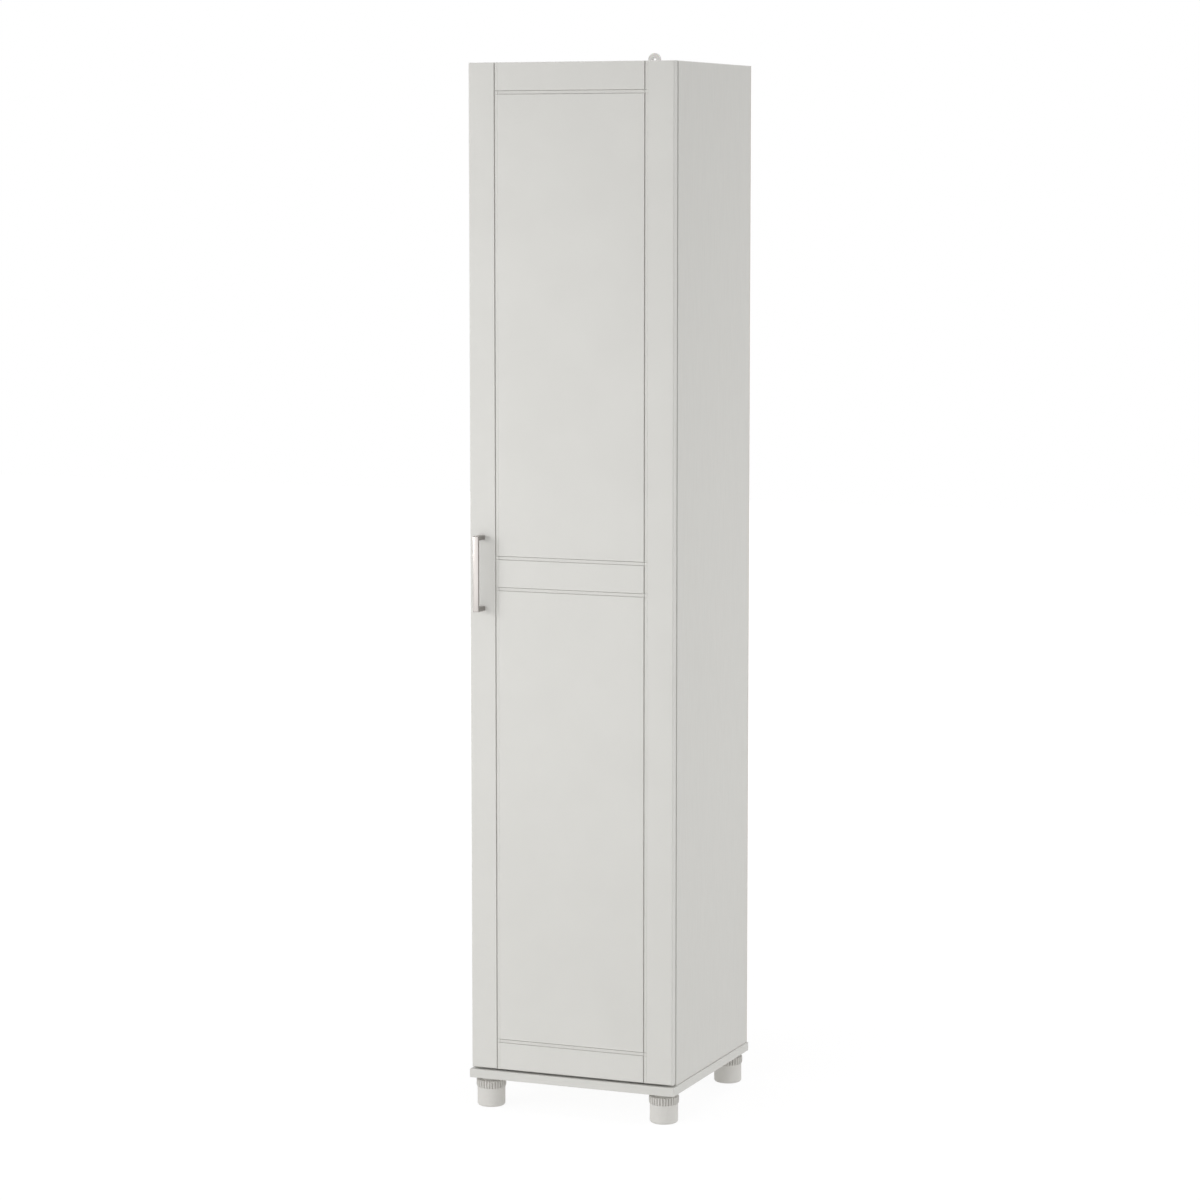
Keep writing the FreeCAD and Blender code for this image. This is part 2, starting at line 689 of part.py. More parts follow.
def shelf_pins():
    """Pin along +Z: its shank above z = 0 goes into the side, its flat lug below carries the shelf."""
    prototype = turned("shelf_pin", [
        ("0", "0"),
        ("sizes.pin_radius", "0"),
        ("sizes.pin_radius", "sizes.pin_depth"),
        ("0", "sizes.pin_depth"),
    ])
    lug = new_sketch(prototype, "shelf_pin_lug", "XY_Plane")
    rectangle(lug, "-sizes.pin_lug_thickness / 2", "-sizes.pin_lug_width / 2",
              "sizes.pin_lug_thickness / 2", "sizes.pin_lug_width / 2")
    pad(prototype, "shelf_pin_seat", lug, "sizes.pin_lug_length", True)
    places = []
    for side in (-1, 1):
        for inset in ("sizes.pin_inset", "(sizes.side_depth - sizes.pin_inset)"):
            places.append((f"{side} * {INNER_X}", f"{SIDE_FRONT} + {inset}", SHELF_PIN_Z, (side, 0, 0)))
    group("shelf_pins", prototype, places)


# Door and handle

def hinge_heights():
    """Heights of the hinges above the floor, lowest first; the third stays under the fixed shelf."""
    lowest = f"({DOOR_BOTTOM} + sizes.hinge_end_inset)"
    third = f"({SHELF_UNDER} - sizes.hinge_shelf_gap)"
    second = f"(({lowest} + {third}) / 2)"
    highest = f"({CABINET_TOP} - sizes.hinge_end_inset)"
    return [lowest, second, third, highest]


def groove_profile(sketch, x, y, flip):
    """Groove with a flat floor and 45 degree flanks; its mouth lies on the face of the door."""
    half_floor = "sizes.groove_floor / 2"
    across = [f"-{GROOVE_HALF}", f"-{half_floor}", half_floor, GROOVE_HALF]
    depth = ["0", "sizes.groove_depth", "sizes.groove_depth", "0"]
    if flip:
        polygon(sketch, [(d, f"{y} + {a}") for a, d in zip(across, depth)])
    else:
        polygon(sketch, [(f"{x} + {a}", d) for a, d in zip(across, depth)])


def door_panel():
    """Full overlay door, routed with two upright grooves and four between them."""
    body = new_part("door_panel", "0", DOOR_FRONT, DOOR_BOTTOM)
    half_width = f"({DOOR_WIDTH} / 2)"
    outline = new_sketch(body, "door_outline", "XY_Plane")
    rectangle(outline, f"-{half_width}", "0", half_width, "sizes.door_thickness")
    slab = pad(body, "slab", outline, DOOR_HEIGHT)
    front = soften(body, "front_edges", slab, "sizes.door_front_round",
                   lambda box: near(box.YMax, 0))
    thickness = number("sizes.door_thickness")
    soften(body, "back_edges", front, "sizes.door_back_round",
           lambda box: near(box.YMin, thickness) and near(box.YMax, thickness))

    upright = new_sketch(body, "upright_groove_profile", "XY_Plane")
    groove_profile(upright, f"{half_width} - sizes.groove_inset", None, False)
    upright_cut = pocket(body, "upright_groove", upright, None, True)
    mirror(body, "upright_grooves", [upright_cut], "YZ_Plane")

    level = new_sketch(body, "level_groove_profiles", "YZ_Plane")
    middle = f"{DOOR_HEIGHT} / 2"
    for height in ("sizes.groove_inset", f"{DOOR_HEIGHT} - sizes.groove_inset",
                   f"{middle} - sizes.groove_mid_offset", f"{middle} + sizes.groove_mid_offset"):
        groove_profile(level, None, f"({height})", True)
    pocket(body, "level_grooves", level, f"2 * ({half_width} - sizes.groove_inset)", False, True)

    cups = new_sketch(body, "cup_holes", "XZ_Plane", "-sizes.door_thickness")
    pilots = new_sketch(body, "cup_screw_holes", "XZ_Plane", "-sizes.door_thickness")
    for height in hinge_heights():
        above_bottom = f"({height} - {DOOR_BOTTOM})"
        circle(cups, CUP_X, above_bottom, "sizes.cup_radius")
        for way in (-1, 1):
            circle(pilots, f"{CUP_X} - sizes.flange_screw_offset",
                   f"{above_bottom} + {way} * sizes.flange_screw_spacing / 2", "sizes.wood_screw_radius")
    pocket(body, "cup_bores", cups, "sizes.cup_depth", True)
    pocket(body, "cup_screw_bores", pilots, "sizes.wood_screw_length - sizes.flange_thickness", True)

    bolts = new_sketch(body, "handle_holes", "XZ_Plane")
    for way in (-1, 1):
        circle(bolts, HANDLE_X, f"{DOOR_HEIGHT} / 2 + {way} * {HANDLE_HOLE}",
               "sizes.handle_screw_radius")
    pocket(body, "handle_bores", bolts)


def handle():
    """Flat bar pull with a post at each end, tapped for a screw from behind the door."""
    body = new_part("handle", HANDLE_X, DOOR_FRONT, DOOR_MIDDLE)
    half = "(sizes.handle_length / 2)"
    inner = "(sizes.handle_length / 2 - sizes.handle_post)"
    reach = "-sizes.handle_reach"
    under_bar = "(sizes.handle_bar - sizes.handle_reach)"
    outline = new_sketch(body, "side_outline", "YZ_Plane")
    polygon(outline, [
        ("0", f"-{half}"), (reach, f"-{half}"), (reach, half), ("0", half),
        ("0", inner), (under_bar, inner), (under_bar, f"-{inner}"), ("0", f"-{inner}"),
    ])
    bar = pad(body, "bar_and_posts", outline, "sizes.handle_width", False, True)
    soften(body, "soft_edges", bar, "sizes.handle_round", lambda box: not near(box.YMin, 0))
    holes = new_sketch(body, "screw_holes", "XZ_Plane")
    for way in (-1, 1):
        circle(holes, "0", f"{way} * {HANDLE_HOLE}", "sizes.handle_screw_radius")
    pocket(body, "screw_bores", holes, "sizes.handle_screw_bite", True)


def handle_screws():
    length = "(sizes.door_thickness + sizes.handle_screw_bite)"
    prototype = screw("handle_screw", "sizes.handle_screw_radius", length,
                      "sizes.handle_screw_head_radius", "sizes.handle_screw_head_height")
    places = []
    for way in (-1, 1):
        places.append((HANDLE_X, DOOR_BACK, f"{DOOR_MIDDLE} + {way} * {HANDLE_HOLE}", (0, -1, 0)))
    group("handle_screws", prototype, places)


# Hinges

def hinge_cup(label, height):
    """Cup in the door with a screwed flange and two ears that hold the pivot pin."""
    body = new_part(label, CUP_X, DOOR_BACK, height)
    barrel = new_sketch(body, "barrel_outline", "XZ_Plane")
    circle(barrel, "0", "0", "sizes.cup_radius")
    pad(body, "barrel", barrel, "sizes.cup_depth")
    flange = new_sketch(body, "flange_outline", "XZ_Plane")
    high = "sizes.flange_half_height"
    outer = "-(sizes.flange_screw_offset + sizes.flange_half_width)"
    inner = "-(sizes.flange_screw_offset - sizes.flange_half_width)"
    rim = "(sizes.cup_inset - sizes.pivot_inset - sizes.flange_pivot_gap)"
    polygon(flange, [
        (outer, f"-{high}"), (inner, f"-{high}"), (rim, "-sizes.cup_radius"),
        (rim, "sizes.cup_radius"), (inner, high), (outer, high),
    ])
    plate = pad(body, "flange", flange, "sizes.flange_thickness", True)
    body.Tip = plate

    mouth = new_sketch(body, "cup_mouth", "XZ_Plane", "-sizes.flange_thickness")
    circle(mouth, "0", "0", "sizes.cup_radius - sizes.cup_wall")
    pocket(body, "cup_hollow", mouth, "sizes.flange_thickness + sizes.cup_depth - sizes.cup_wall", True)

    pivot_x = "(sizes.cup_inset - sizes.pivot_inset)"
    ring = "(sizes.cup_radius - sizes.cup_wall / 2)"
    low = "(sizes.ear_gap / 2)"
    high_ear = "(sizes.pivot_half_length + sizes.ear_cover)"
    back = f"({pivot_x} - sizes.ear_reach)"
    ears = new_sketch(body, "ear_outlines", "XZ_Plane")
    for way in (-1, 1):
        polygon(ears, [
            (back, f"{way} * {low}"),
            (f"sqrt({ring} ^ 2 - {low} ^ 2)", f"{way} * {low}"),
            (f"sqrt({ring} ^ 2 - {high_ear} ^ 2)", f"{way} * {high_ear}"),
            (back, f"{way} * {high_ear}"),
        ])
    pad(body, "ears", ears, "sizes.cup_depth - sizes.cup_wall / 2")
    pin_hole = new_sketch(body, "pin_hole", "XY_Plane")
    circle(pin_hole, pivot_x, "-sizes.pivot_depth", "sizes.pivot_radius")
    pocket(body, "pin_bore", pin_hole, "2 * sizes.pivot_half_length", False, True)
    screw_holes = new_sketch(body, "flange_screw_holes", "XZ_Plane", "-sizes.flange_thickness")
    for way in (-1, 1):
        circle(screw_holes, "-sizes.flange_screw_offset", f"{way} * sizes.flange_screw_spacing / 2",
               "sizes.wood_screw_radius")
    pocket(body, "flange_screw_bores", screw_holes, "sizes.flange_thickness", True)


def hinge_arm(label, height):
    """Cranked arm: the eye round the pin, a neck out of the cup and a wide foot on the plate."""
    body = new_part(label, ARM_X, PIVOT_Y, height)
    half = "sizes.arm_thickness / 2"
    eye_x = f"({PIVOT_X} - {ARM_X})"
    reach = f"({SIDE_FRONT} - {PIVOT_Y} + sizes.arm_end)"
    neck_end = f"({SIDE_FRONT} - {PIVOT_Y} + sizes.arm_neck_end)"
    neck = new_sketch(body, "neck_outline", "XY_Plane")
    polygon(neck, [
        (f"-{half}", f"-{half}"), (eye_x, f"-{half}"), (eye_x, half),
        (half, half), (half, reach), (f"-{half}", reach),
    ])
    pad(body, "neck", neck, "sizes.arm_neck", False, True)
    eye = new_sketch(body, "eye_outline", "XY_Plane")
    circle(eye, eye_x, "0", "sizes.eye_radius")
    pad(body, "eye", eye, "sizes.arm_neck", False, True)
    wide = new_sketch(body, "foot_outline", "XY_Plane")
    rectangle(wide, f"-{half}", neck_end, half, reach)
    pad(body, "foot", wide, "sizes.arm_width", False, True)
    bore = new_sketch(body, "eye_hole", "XY_Plane")
    circle(bore, eye_x, "0", "sizes.pivot_radius + sizes.pivot_clearance")
    pocket(body, "eye_bore", bore, "2 * sizes.arm_neck", False, True)
    clamp = new_sketch(body, "clamp_hole", "YZ_Plane")
    circle(clamp, f"{SIDE_FRONT} - {PIVOT_Y} + sizes.plate_screw_inset", "0", "sizes.clamp_screw_radius")
    pocket(body, "clamp_bore", clamp, "2 * sizes.arm_thickness", False, True)


def hinge_plate(label, height):
    """Mounting plate with a wing above and below, screwed to the side."""
    body = new_part(label, INNER_X, SIDE_FRONT, height)
    centre = "sizes.plate_screw_inset"
    wing_low = f"({centre} - sizes.plate_wing / 2)"
    wing_high = f"({centre} + sizes.plate_wing / 2)"
    half_arm = "(sizes.arm_width / 2 + sizes.plate_margin)"
    high = "sizes.plate_half_height"
    outline = new_sketch(body, "plate_outline", "YZ_Plane")
    polygon(outline, [
        ("sizes.plate_front", f"-{half_arm}"), (wing_low, f"-{half_arm}"), (wing_low, f"-{high}"),
        (wing_high, f"-{high}"), (wing_high, f"-{half_arm}"), ("sizes.arm_end", f"-{half_arm}"),
        ("sizes.arm_end", half_arm), (wing_high, half_arm), (wing_high, high),
        (wing_low, high), (wing_low, half_arm), ("sizes.plate_front", half_arm),
    ])
    slab = pad(body, "plate", outline, "sizes.plate_thickness", True)
    thickness = number("sizes.plate_thickness")
    tall = number(high)
    soften(body, "wing_corners", slab, "sizes.plate_round",
           lambda box: near(box.XLength, thickness) and near(max(box.ZMax, -box.ZMin), tall))
    holes = new_sketch(body, "plate_holes", "YZ_Plane")
    circle(holes, centre, "0", "sizes.clamp_screw_radius")
    for way in (-1, 1):
        circle(holes, centre, f"{way} * sizes.plate_screw_spacing / 2", "sizes.plate_screw_radius")
    pocket(body, "plate_bores", holes)


def hinge_fasteners():
    """Pivot pins, and the screws of the cups, the plates and the arms."""
    heights = hinge_heights()
    pin = turned("hinge_pin", [
        ("0", "-sizes.pivot_half_length"),
        ("sizes.pivot_radius", "-sizes.pivot_half_length"),
        ("sizes.pivot_radius", "sizes.pivot_half_length"),
        ("0", "sizes.pivot_half_length"),
    ])
    group("hinge_pins", pin, [(PIVOT_X, PIVOT_Y, height, (0, 0, 1)) for height in heights])

    cup_screw = screw("cup_screw", "sizes.wood_screw_radius", "sizes.wood_screw_length",
                      "sizes.wood_screw_head_radius", "sizes.wood_screw_head_height")
    plate_screw = screw("plate_screw", "sizes.plate_screw_radius",
                        "(sizes.plate_thickness + sizes.plate_screw_length)",
                        "sizes.wood_screw_head_radius", "sizes.wood_screw_head_height")
    clamp_screw = screw("clamp_screw", "sizes.clamp_screw_radius",
                        "(sizes.plate_thickness + sizes.arm_thickness)",
                        "sizes.wood_screw_head_radius", "sizes.wood_screw_head_height")
    cup_places = []
    plate_places = []
    clamp_places = []
    plate_face = f"{INNER_X} - sizes.plate_thickness"
    plate_y = f"{SIDE_FRONT} + sizes.plate_screw_inset"
    for height in heights:
        clamp_places.append((f"{plate_face} - sizes.arm_thickness", plate_y, height, (1, 0, 0)))
        for way in (-1, 1):
            cup_z = f"{height} + {way} * sizes.flange_screw_spacing / 2"
            plate_z = f"{height} + {way} * sizes.plate_screw_spacing / 2"
            cup_places.append((f"{CUP_X} - sizes.flange_screw_offset",
                               f"{DOOR_BACK} + sizes.flange_thickness", cup_z, (0, -1, 0)))
            plate_places.append((plate_face, plate_y, plate_z, (1, 0, 0)))
    group("hinge_cup_screws", cup_screw, cup_places)
    group("hinge_plate_screws", plate_screw, plate_places)
    group("hinge_clamp_screws", clamp_screw, clamp_places)


# Feet

def foot(label, side, y):
    """Hollow moulded foot with a ribbed grip collar, open underneath round a central boss."""
    body = new_part(label, f"{side} * {FOOT_X}", y, "0")
    top = "sizes.foot_height"
    collar_end = "(sizes.foot_height - sizes.collar_height)"
    shell = new_sketch(body, "shell_profile", "XZ_Plane")
    bore = "(sizes.stud_radius + sizes.stud_clearance)"
    inner = "(sizes.foot_radius - sizes.foot_wall)"
    ceiling = "(sizes.foot_height - sizes.foot_top)"
    polygon(shell, [
        (bore, top),
        ("sizes.collar_radius", top),
        ("sizes.collar_radius", collar_end),
        ("sizes.foot_radius", f"{collar_end} - sizes.collar_taper"),
        ("sizes.foot_radius", "0"),
        (f"{inner} - sizes.foot_round", "0"),
        (inner, "sizes.foot_round"),
        (inner, ceiling),
        ("sizes.foot_boss_radius", ceiling),
        ("sizes.foot_boss_radius", f"{top} - sizes.stud_in_foot"),
        (bore, f"{top} - sizes.stud_in_foot"),
    ])
    turned_shell = revolve(body, "shell", shell)
    radius = number("sizes.foot_radius")
    soften(body, "bottom_round", turned_shell, "sizes.foot_round",
           lambda box: near(box.ZMax, 0) and near(box.XMax, radius))
    gap = new_sketch(body, "rib_gap_outline", "XY_Plane", top)
    rectangle(gap, "sizes.collar_radius - sizes.rib_height", "-sizes.rib_gap / 2",
              "sizes.collar_radius + sizes.rib_height", "sizes.rib_gap / 2")
    cut = pocket(body, "rib_gap", gap, "sizes.collar_height + sizes.collar_taper")
    ring_of(body, "rib_gaps", [cut], RIBS)


def foot_stud(label, side, y):
    """Threaded stud through the foot, with a flange that stops it under the base board."""
    body = new_part(label, f"{side} * {FOOT_X}", y, "sizes.foot_height")
    profile = new_sketch(body, "stud_profile", "XZ_Plane")
    polygon(profile, [
        ("0", "-sizes.stud_in_foot"),
        ("sizes.stud_radius", "-sizes.stud_in_foot"),
        ("sizes.stud_radius", "0"),
        ("sizes.stud_flange_radius", "0"),
        ("sizes.stud_flange_radius", "sizes.foot_gap"),
        ("sizes.stud_radius", "sizes.foot_gap"),
        ("sizes.stud_radius", "sizes.foot_gap + sizes.stud_length"),
        ("0", "sizes.foot_gap + sizes.stud_length"),
    ])
    revolve(body, "stud", profile)


def tee_nuts():
    """Flanged nut along +Z: the flange above z = 0, the threaded barrel below it."""
    bore = "(sizes.stud_radius + sizes.stud_clearance)"
    prototype = turned("tee_nut", [
        (bore, "-sizes.nut_depth"),
        ("sizes.nut_radius", "-sizes.nut_depth"),
        ("sizes.nut_radius", "0"),
        ("sizes.nut_flange_radius", "0"),
        ("sizes.nut_flange_radius", "sizes.nut_flange_thickness"),
        (bore, "sizes.nut_flange_thickness"),
    ])
    places = [(f"{side} * {FOOT_X}", y, BASE_TOP, (0, 0, 1)) for side, y in FEET.values()]
    group("tee_nuts", prototype, places)


# Bracket and bumpers

def bracket_screws():
    """Places of the two screws through the bracket's leg, on the cupboard's top."""
    y = f"{CABINET_BACK} - sizes.bracket_screw_inset"
    return [(f"sizes.bracket_offset + {way} * sizes.bracket_screw_spacing / 2", y) for way in (-1, 1)]


def wall_bracket():
    """Angle bracket: a round-topped tab with a countersunk hole, and a leg screwed to the top."""
    body = new_part("wall_bracket", "sizes.bracket_offset", CABINET_BACK, CABINET_TOP)
    half = "(sizes.bracket_width / 2)"
    tab = new_sketch(body, "tab_outline", "XZ_Plane")
    rectangle(tab, f"-{half}", "0", half, "sizes.bracket_hole_height")
    pad(body, "tab", tab, "sizes.bracket_thickness")
    crown = new_sketch(body, "crown_outline", "XZ_Plane")
    circle(crown, "0", "sizes.bracket_hole_height", half)
    pad(body, "crown", crown, "sizes.bracket_thickness")
    leg = new_sketch(body, "leg_outline", "XY_Plane")
    rectangle(leg, f"-{half}", "-sizes.bracket_leg", half, "0")
    pad(body, "leg", leg, "sizes.bracket_leg_thickness")
    hole = new_sketch(body, "wall_hole", "XZ_Plane")
    circle(hole, "0", "sizes.bracket_hole_height", "sizes.bracket_hole_radius")
    drilled = pocket(body, "wall_bore", hole, None, True)
    radius = number("sizes.bracket_hole_radius")
    front = number("-sizes.bracket_thickness")
    sunk = soften(body, "countersink", drilled, "sizes.bracket_countersink",
                  lambda box: near(box.YMax, front) and near(box.XLength, 2 * radius), "Chamfer")
    body.Tip = sunk
    screws = new_sketch(body, "leg_holes", "XY_Plane")
    for x, y in bracket_screws():
        circle(screws, f"{x} - sizes.bracket_offset", f"{y} - {CABINET_BACK}", "sizes.wood_screw_radius")
    pocket(body, "leg_bores", screws, "sizes.bracket_leg_thickness", True)


def wall_bracket_screws():
    prototype = screw("bracket_screw", "sizes.wood_screw_radius",
                      "(sizes.wood_screw_length + sizes.bracket_leg_thickness)",
                      "sizes.wood_screw_head_radius", "sizes.wood_screw_head_height")
    head = f"{CABINET_TOP} + sizes.bracket_leg_thickness"
    group("wall_bracket_screws", prototype, [(x, y, head, (0, 0, -1)) for x, y in bracket_screws()])


def door_bumpers():
    """Soft discs on the front edge of the left side, which the closed door rests against."""
    discs = []
    thickness = "(sizes.door_gap - sizes.bumper_clearance)"
    for index, z in enumerate((f"{BASE_TOP} + sizes.bumper_end_distance",
                               f"{CABINET_TOP} - sizes.bumper_end_distance"), 1):
        disc = doc.addObject("Part::Cylinder", f"bumper_disc_{index}")
        disc.setExpression("Radius", "sizes.bumper_radius")
        disc.setExpression("Height", thickness)
        place(disc, f"-({INNER_X} + {HALF_BOARD})", SIDE_FRONT, z, (0, -1, 0))
        discs.append(disc)
    compound = doc.addObject("Part::Compound", "door_bumpers")
    compound.Label = "door_bumpers"
    compound.Links = discs
    place(compound, "0", "0", "0")
    parts.append(compound)


def check_and_write():
    """Stop on any failed object or bad shape, then write one file for each sub-part."""
    doc.recompute()
    for item in doc.Objects:
        if "Invalid" in item.State or "Error" in item.State:
            raise RuntimeError(f"{item.Label} failed: {item.State}")
    os.makedirs("parts", exist_ok=True)
    for item in parts:
        shape = item.Shape
        if shape.isNull() or not shape.isValid() or not shape.Solids:
            raise RuntimeError(f"{item.Label} has no good solid")
        shape.exportStep(f"parts/{item.Label}.step")
        print(f"{item.Label}: {len(shape.Solids)} solid, {shape.Volume / 1000:.2f} cm3")


base_board()
side_panel("left_side_panel", -1)
side_panel("right_side_panel", 1)
top_panel()
cross_panel("fixed_shelf", SHELF_UNDER)
adjustable_shelf()
back_panel()
shelf_pins()
cam_locks()
cam_dowels()
wood_dowels()
nails()
door_panel()
handle()
handle_screws()
for number_of, hinge_height in enumerate(hinge_heights(), 1):
    hinge_cup(f"hinge_cup_{number_of}", hinge_height)
    hinge_arm(f"hinge_arm_{number_of}", hinge_height)
    hinge_plate(f"hinge_plate_{number_of}", hinge_height)
hinge_fasteners()
for corner, (foot_side, foot_y) in FEET.items():
    foot(f"foot_{corner}", foot_side, foot_y)
    foot_stud(f"foot_stud_{corner}", foot_side, foot_y)
tee_nuts()
wall_bracket()
wall_bracket_screws()
door_bumpers()
check_and_write()
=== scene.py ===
# Broom cupboard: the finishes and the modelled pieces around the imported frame. Metres, +Z up, door to -Y.
import json
import math
import bmesh
import bpy
import numpy as np
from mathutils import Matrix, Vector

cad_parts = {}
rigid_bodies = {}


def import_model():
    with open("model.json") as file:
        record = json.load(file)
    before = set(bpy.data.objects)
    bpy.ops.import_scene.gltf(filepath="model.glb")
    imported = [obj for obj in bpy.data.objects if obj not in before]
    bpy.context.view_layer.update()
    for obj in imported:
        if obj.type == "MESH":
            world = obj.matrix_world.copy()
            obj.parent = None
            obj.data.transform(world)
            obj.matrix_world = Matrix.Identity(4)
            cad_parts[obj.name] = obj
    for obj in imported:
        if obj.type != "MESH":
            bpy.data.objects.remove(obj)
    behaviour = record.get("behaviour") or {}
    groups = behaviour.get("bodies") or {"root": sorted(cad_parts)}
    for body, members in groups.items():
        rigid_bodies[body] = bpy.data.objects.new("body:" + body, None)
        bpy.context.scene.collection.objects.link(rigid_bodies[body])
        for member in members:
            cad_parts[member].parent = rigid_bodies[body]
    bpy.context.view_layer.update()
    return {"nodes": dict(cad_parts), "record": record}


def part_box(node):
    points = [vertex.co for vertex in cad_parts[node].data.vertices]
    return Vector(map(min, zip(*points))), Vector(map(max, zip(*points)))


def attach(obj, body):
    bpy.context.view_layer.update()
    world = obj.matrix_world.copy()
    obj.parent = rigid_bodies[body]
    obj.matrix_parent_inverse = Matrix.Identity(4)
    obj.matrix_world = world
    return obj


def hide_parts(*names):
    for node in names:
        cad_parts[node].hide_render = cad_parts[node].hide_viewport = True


for leftover in list(bpy.data.objects):
    bpy.data.objects.remove(leftover)

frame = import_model()
mm = 0.001
bodyOf = {node: body for body, nodes in frame["record"]["behaviour"]["bodies"].items() for node in nodes}


# materials

white = [1.0, 1.0, 1.0, 1.0]

# where in a noise's range of 0 to 1 the low colour or gloss gives way to the high one
noiseRange = {"colour": (0.35, 0.65), "gloss": (0.3, 0.7)}


def toLinear(hexColour):
    # each sRGB channel c becomes c / 12.92 near black and ((c + 0.055) / 1.055) ** 2.4 above
    channels = [int(hexColour[i:i + 2], 16) / 255 for i in (1, 3, 5)]
    return [c / 12.92 if c <= 0.04045 else ((c + 0.055) / 1.055) ** 2.4 for c in channels] + [1.0]


def addNode(tree, kind, feeds=None, **settings):
    # settings are the node's own properties; feeds are its sockets, each a value or another node's output
    node = tree.nodes.new(kind)
    for name, value in settings.items():
        setattr(node, name, value)
    for socket, feed in (feeds or {}).items():
        if isinstance(feed, bpy.types.NodeSocket):
            tree.links.new(feed, node.inputs[socket])
        else:
            node.inputs[socket].default_value = feed
    return node


def startMaterial(name):
    # an empty material with its tree and its shader
    material = bpy.data.materials.new(name)
    material.use_nodes = True
    tree = material.node_tree
    tree.nodes.clear()
    shader = addNode(tree, "ShaderNodeBsdfPrincipled")
    addNode(tree, "ShaderNodeOutputMaterial", {"Surface": shader.outputs["BSDF"]})
    return material, tree, shader


def speckle(tree, sizes, detail, roughness):
    # noise whose lumps measure the given millimetres along X, Y and Z
    coords = addNode(tree, "ShaderNodeTexCoord")
    scale = [1 / (size * mm) for size in sizes]
    mapping = addNode(tree, "ShaderNodeMapping", {"Vector": coords.outputs["Object"], "Scale": scale})
    return addNode(tree, "ShaderNodeTexNoise", {"Vector": mapping.outputs["Vector"], "Scale": 1.0,
                                                "Detail": detail, "Roughness": roughness}).outputs["Fac"]


def blendColours(tree, noise, low, high):
    # the low colour where the noise is low and the high one where it is high; a colour mix takes its factor
    # and its two colours at sockets 0, 6 and 7 and gives the result at 2
    start, end = noiseRange["colour"]
    ramp = addNode(tree, "ShaderNodeMapRange", {"Value": noise, "From Min": start, "From Max": end})
    mix = addNode(tree, "ShaderNodeMix", {0: ramp.outputs["Result"], 6: low, 7: high}, data_type="RGBA")
    return mix.outputs[2]


def finish(tree, shader, colour, noise, look):
    # the noise moves the roughness between the look's two values and raises its relief
    start, end = noiseRange["gloss"]
    low, high = look["rough"]
    gloss = addNode(tree, "ShaderNodeMapRange", {"Value": noise, "From Min": start, "From Max": end,
                                                 "To Min": low, "To Max": high})
    bump = addNode(tree, "ShaderNodeBump", {"Height": noise, "Distance": look["depth"] * mm,
                                            "Strength": look["strength"]})
    tree.links.new(colour, shader.inputs["Base Color"])
    tree.links.new(gloss.outputs["Result"], shader.inputs["Roughness"])
    tree.links.new(bump.outputs["Normal"], shader.inputs["Normal"])


def patternedMaterial(name, look):
    # the tone noise mixes the two colours, the texture noise makes gloss and relief, and what is the same
    # all over is set on the shader's own sockets
    material, tree, shader = startMaterial(name)
    tone = speckle(tree, *look["tone"])
    texture = speckle(tree, *look["texture"]) if "texture" in look else tone
    colour = blendColours(tree, tone, toLinear(look["dark"]), toLinear(look["light"]))
    finish(tree, shader, colour, texture, look)
    for socket, value in look.get("even", {}).items():
        shader.inputs[socket].default_value = value
    return material


melamine = {"light": "#d8d7d3", "dark": "#d4d3cf", "rough": (0.46, 0.56), "depth": 0.03, "strength": 0.3}

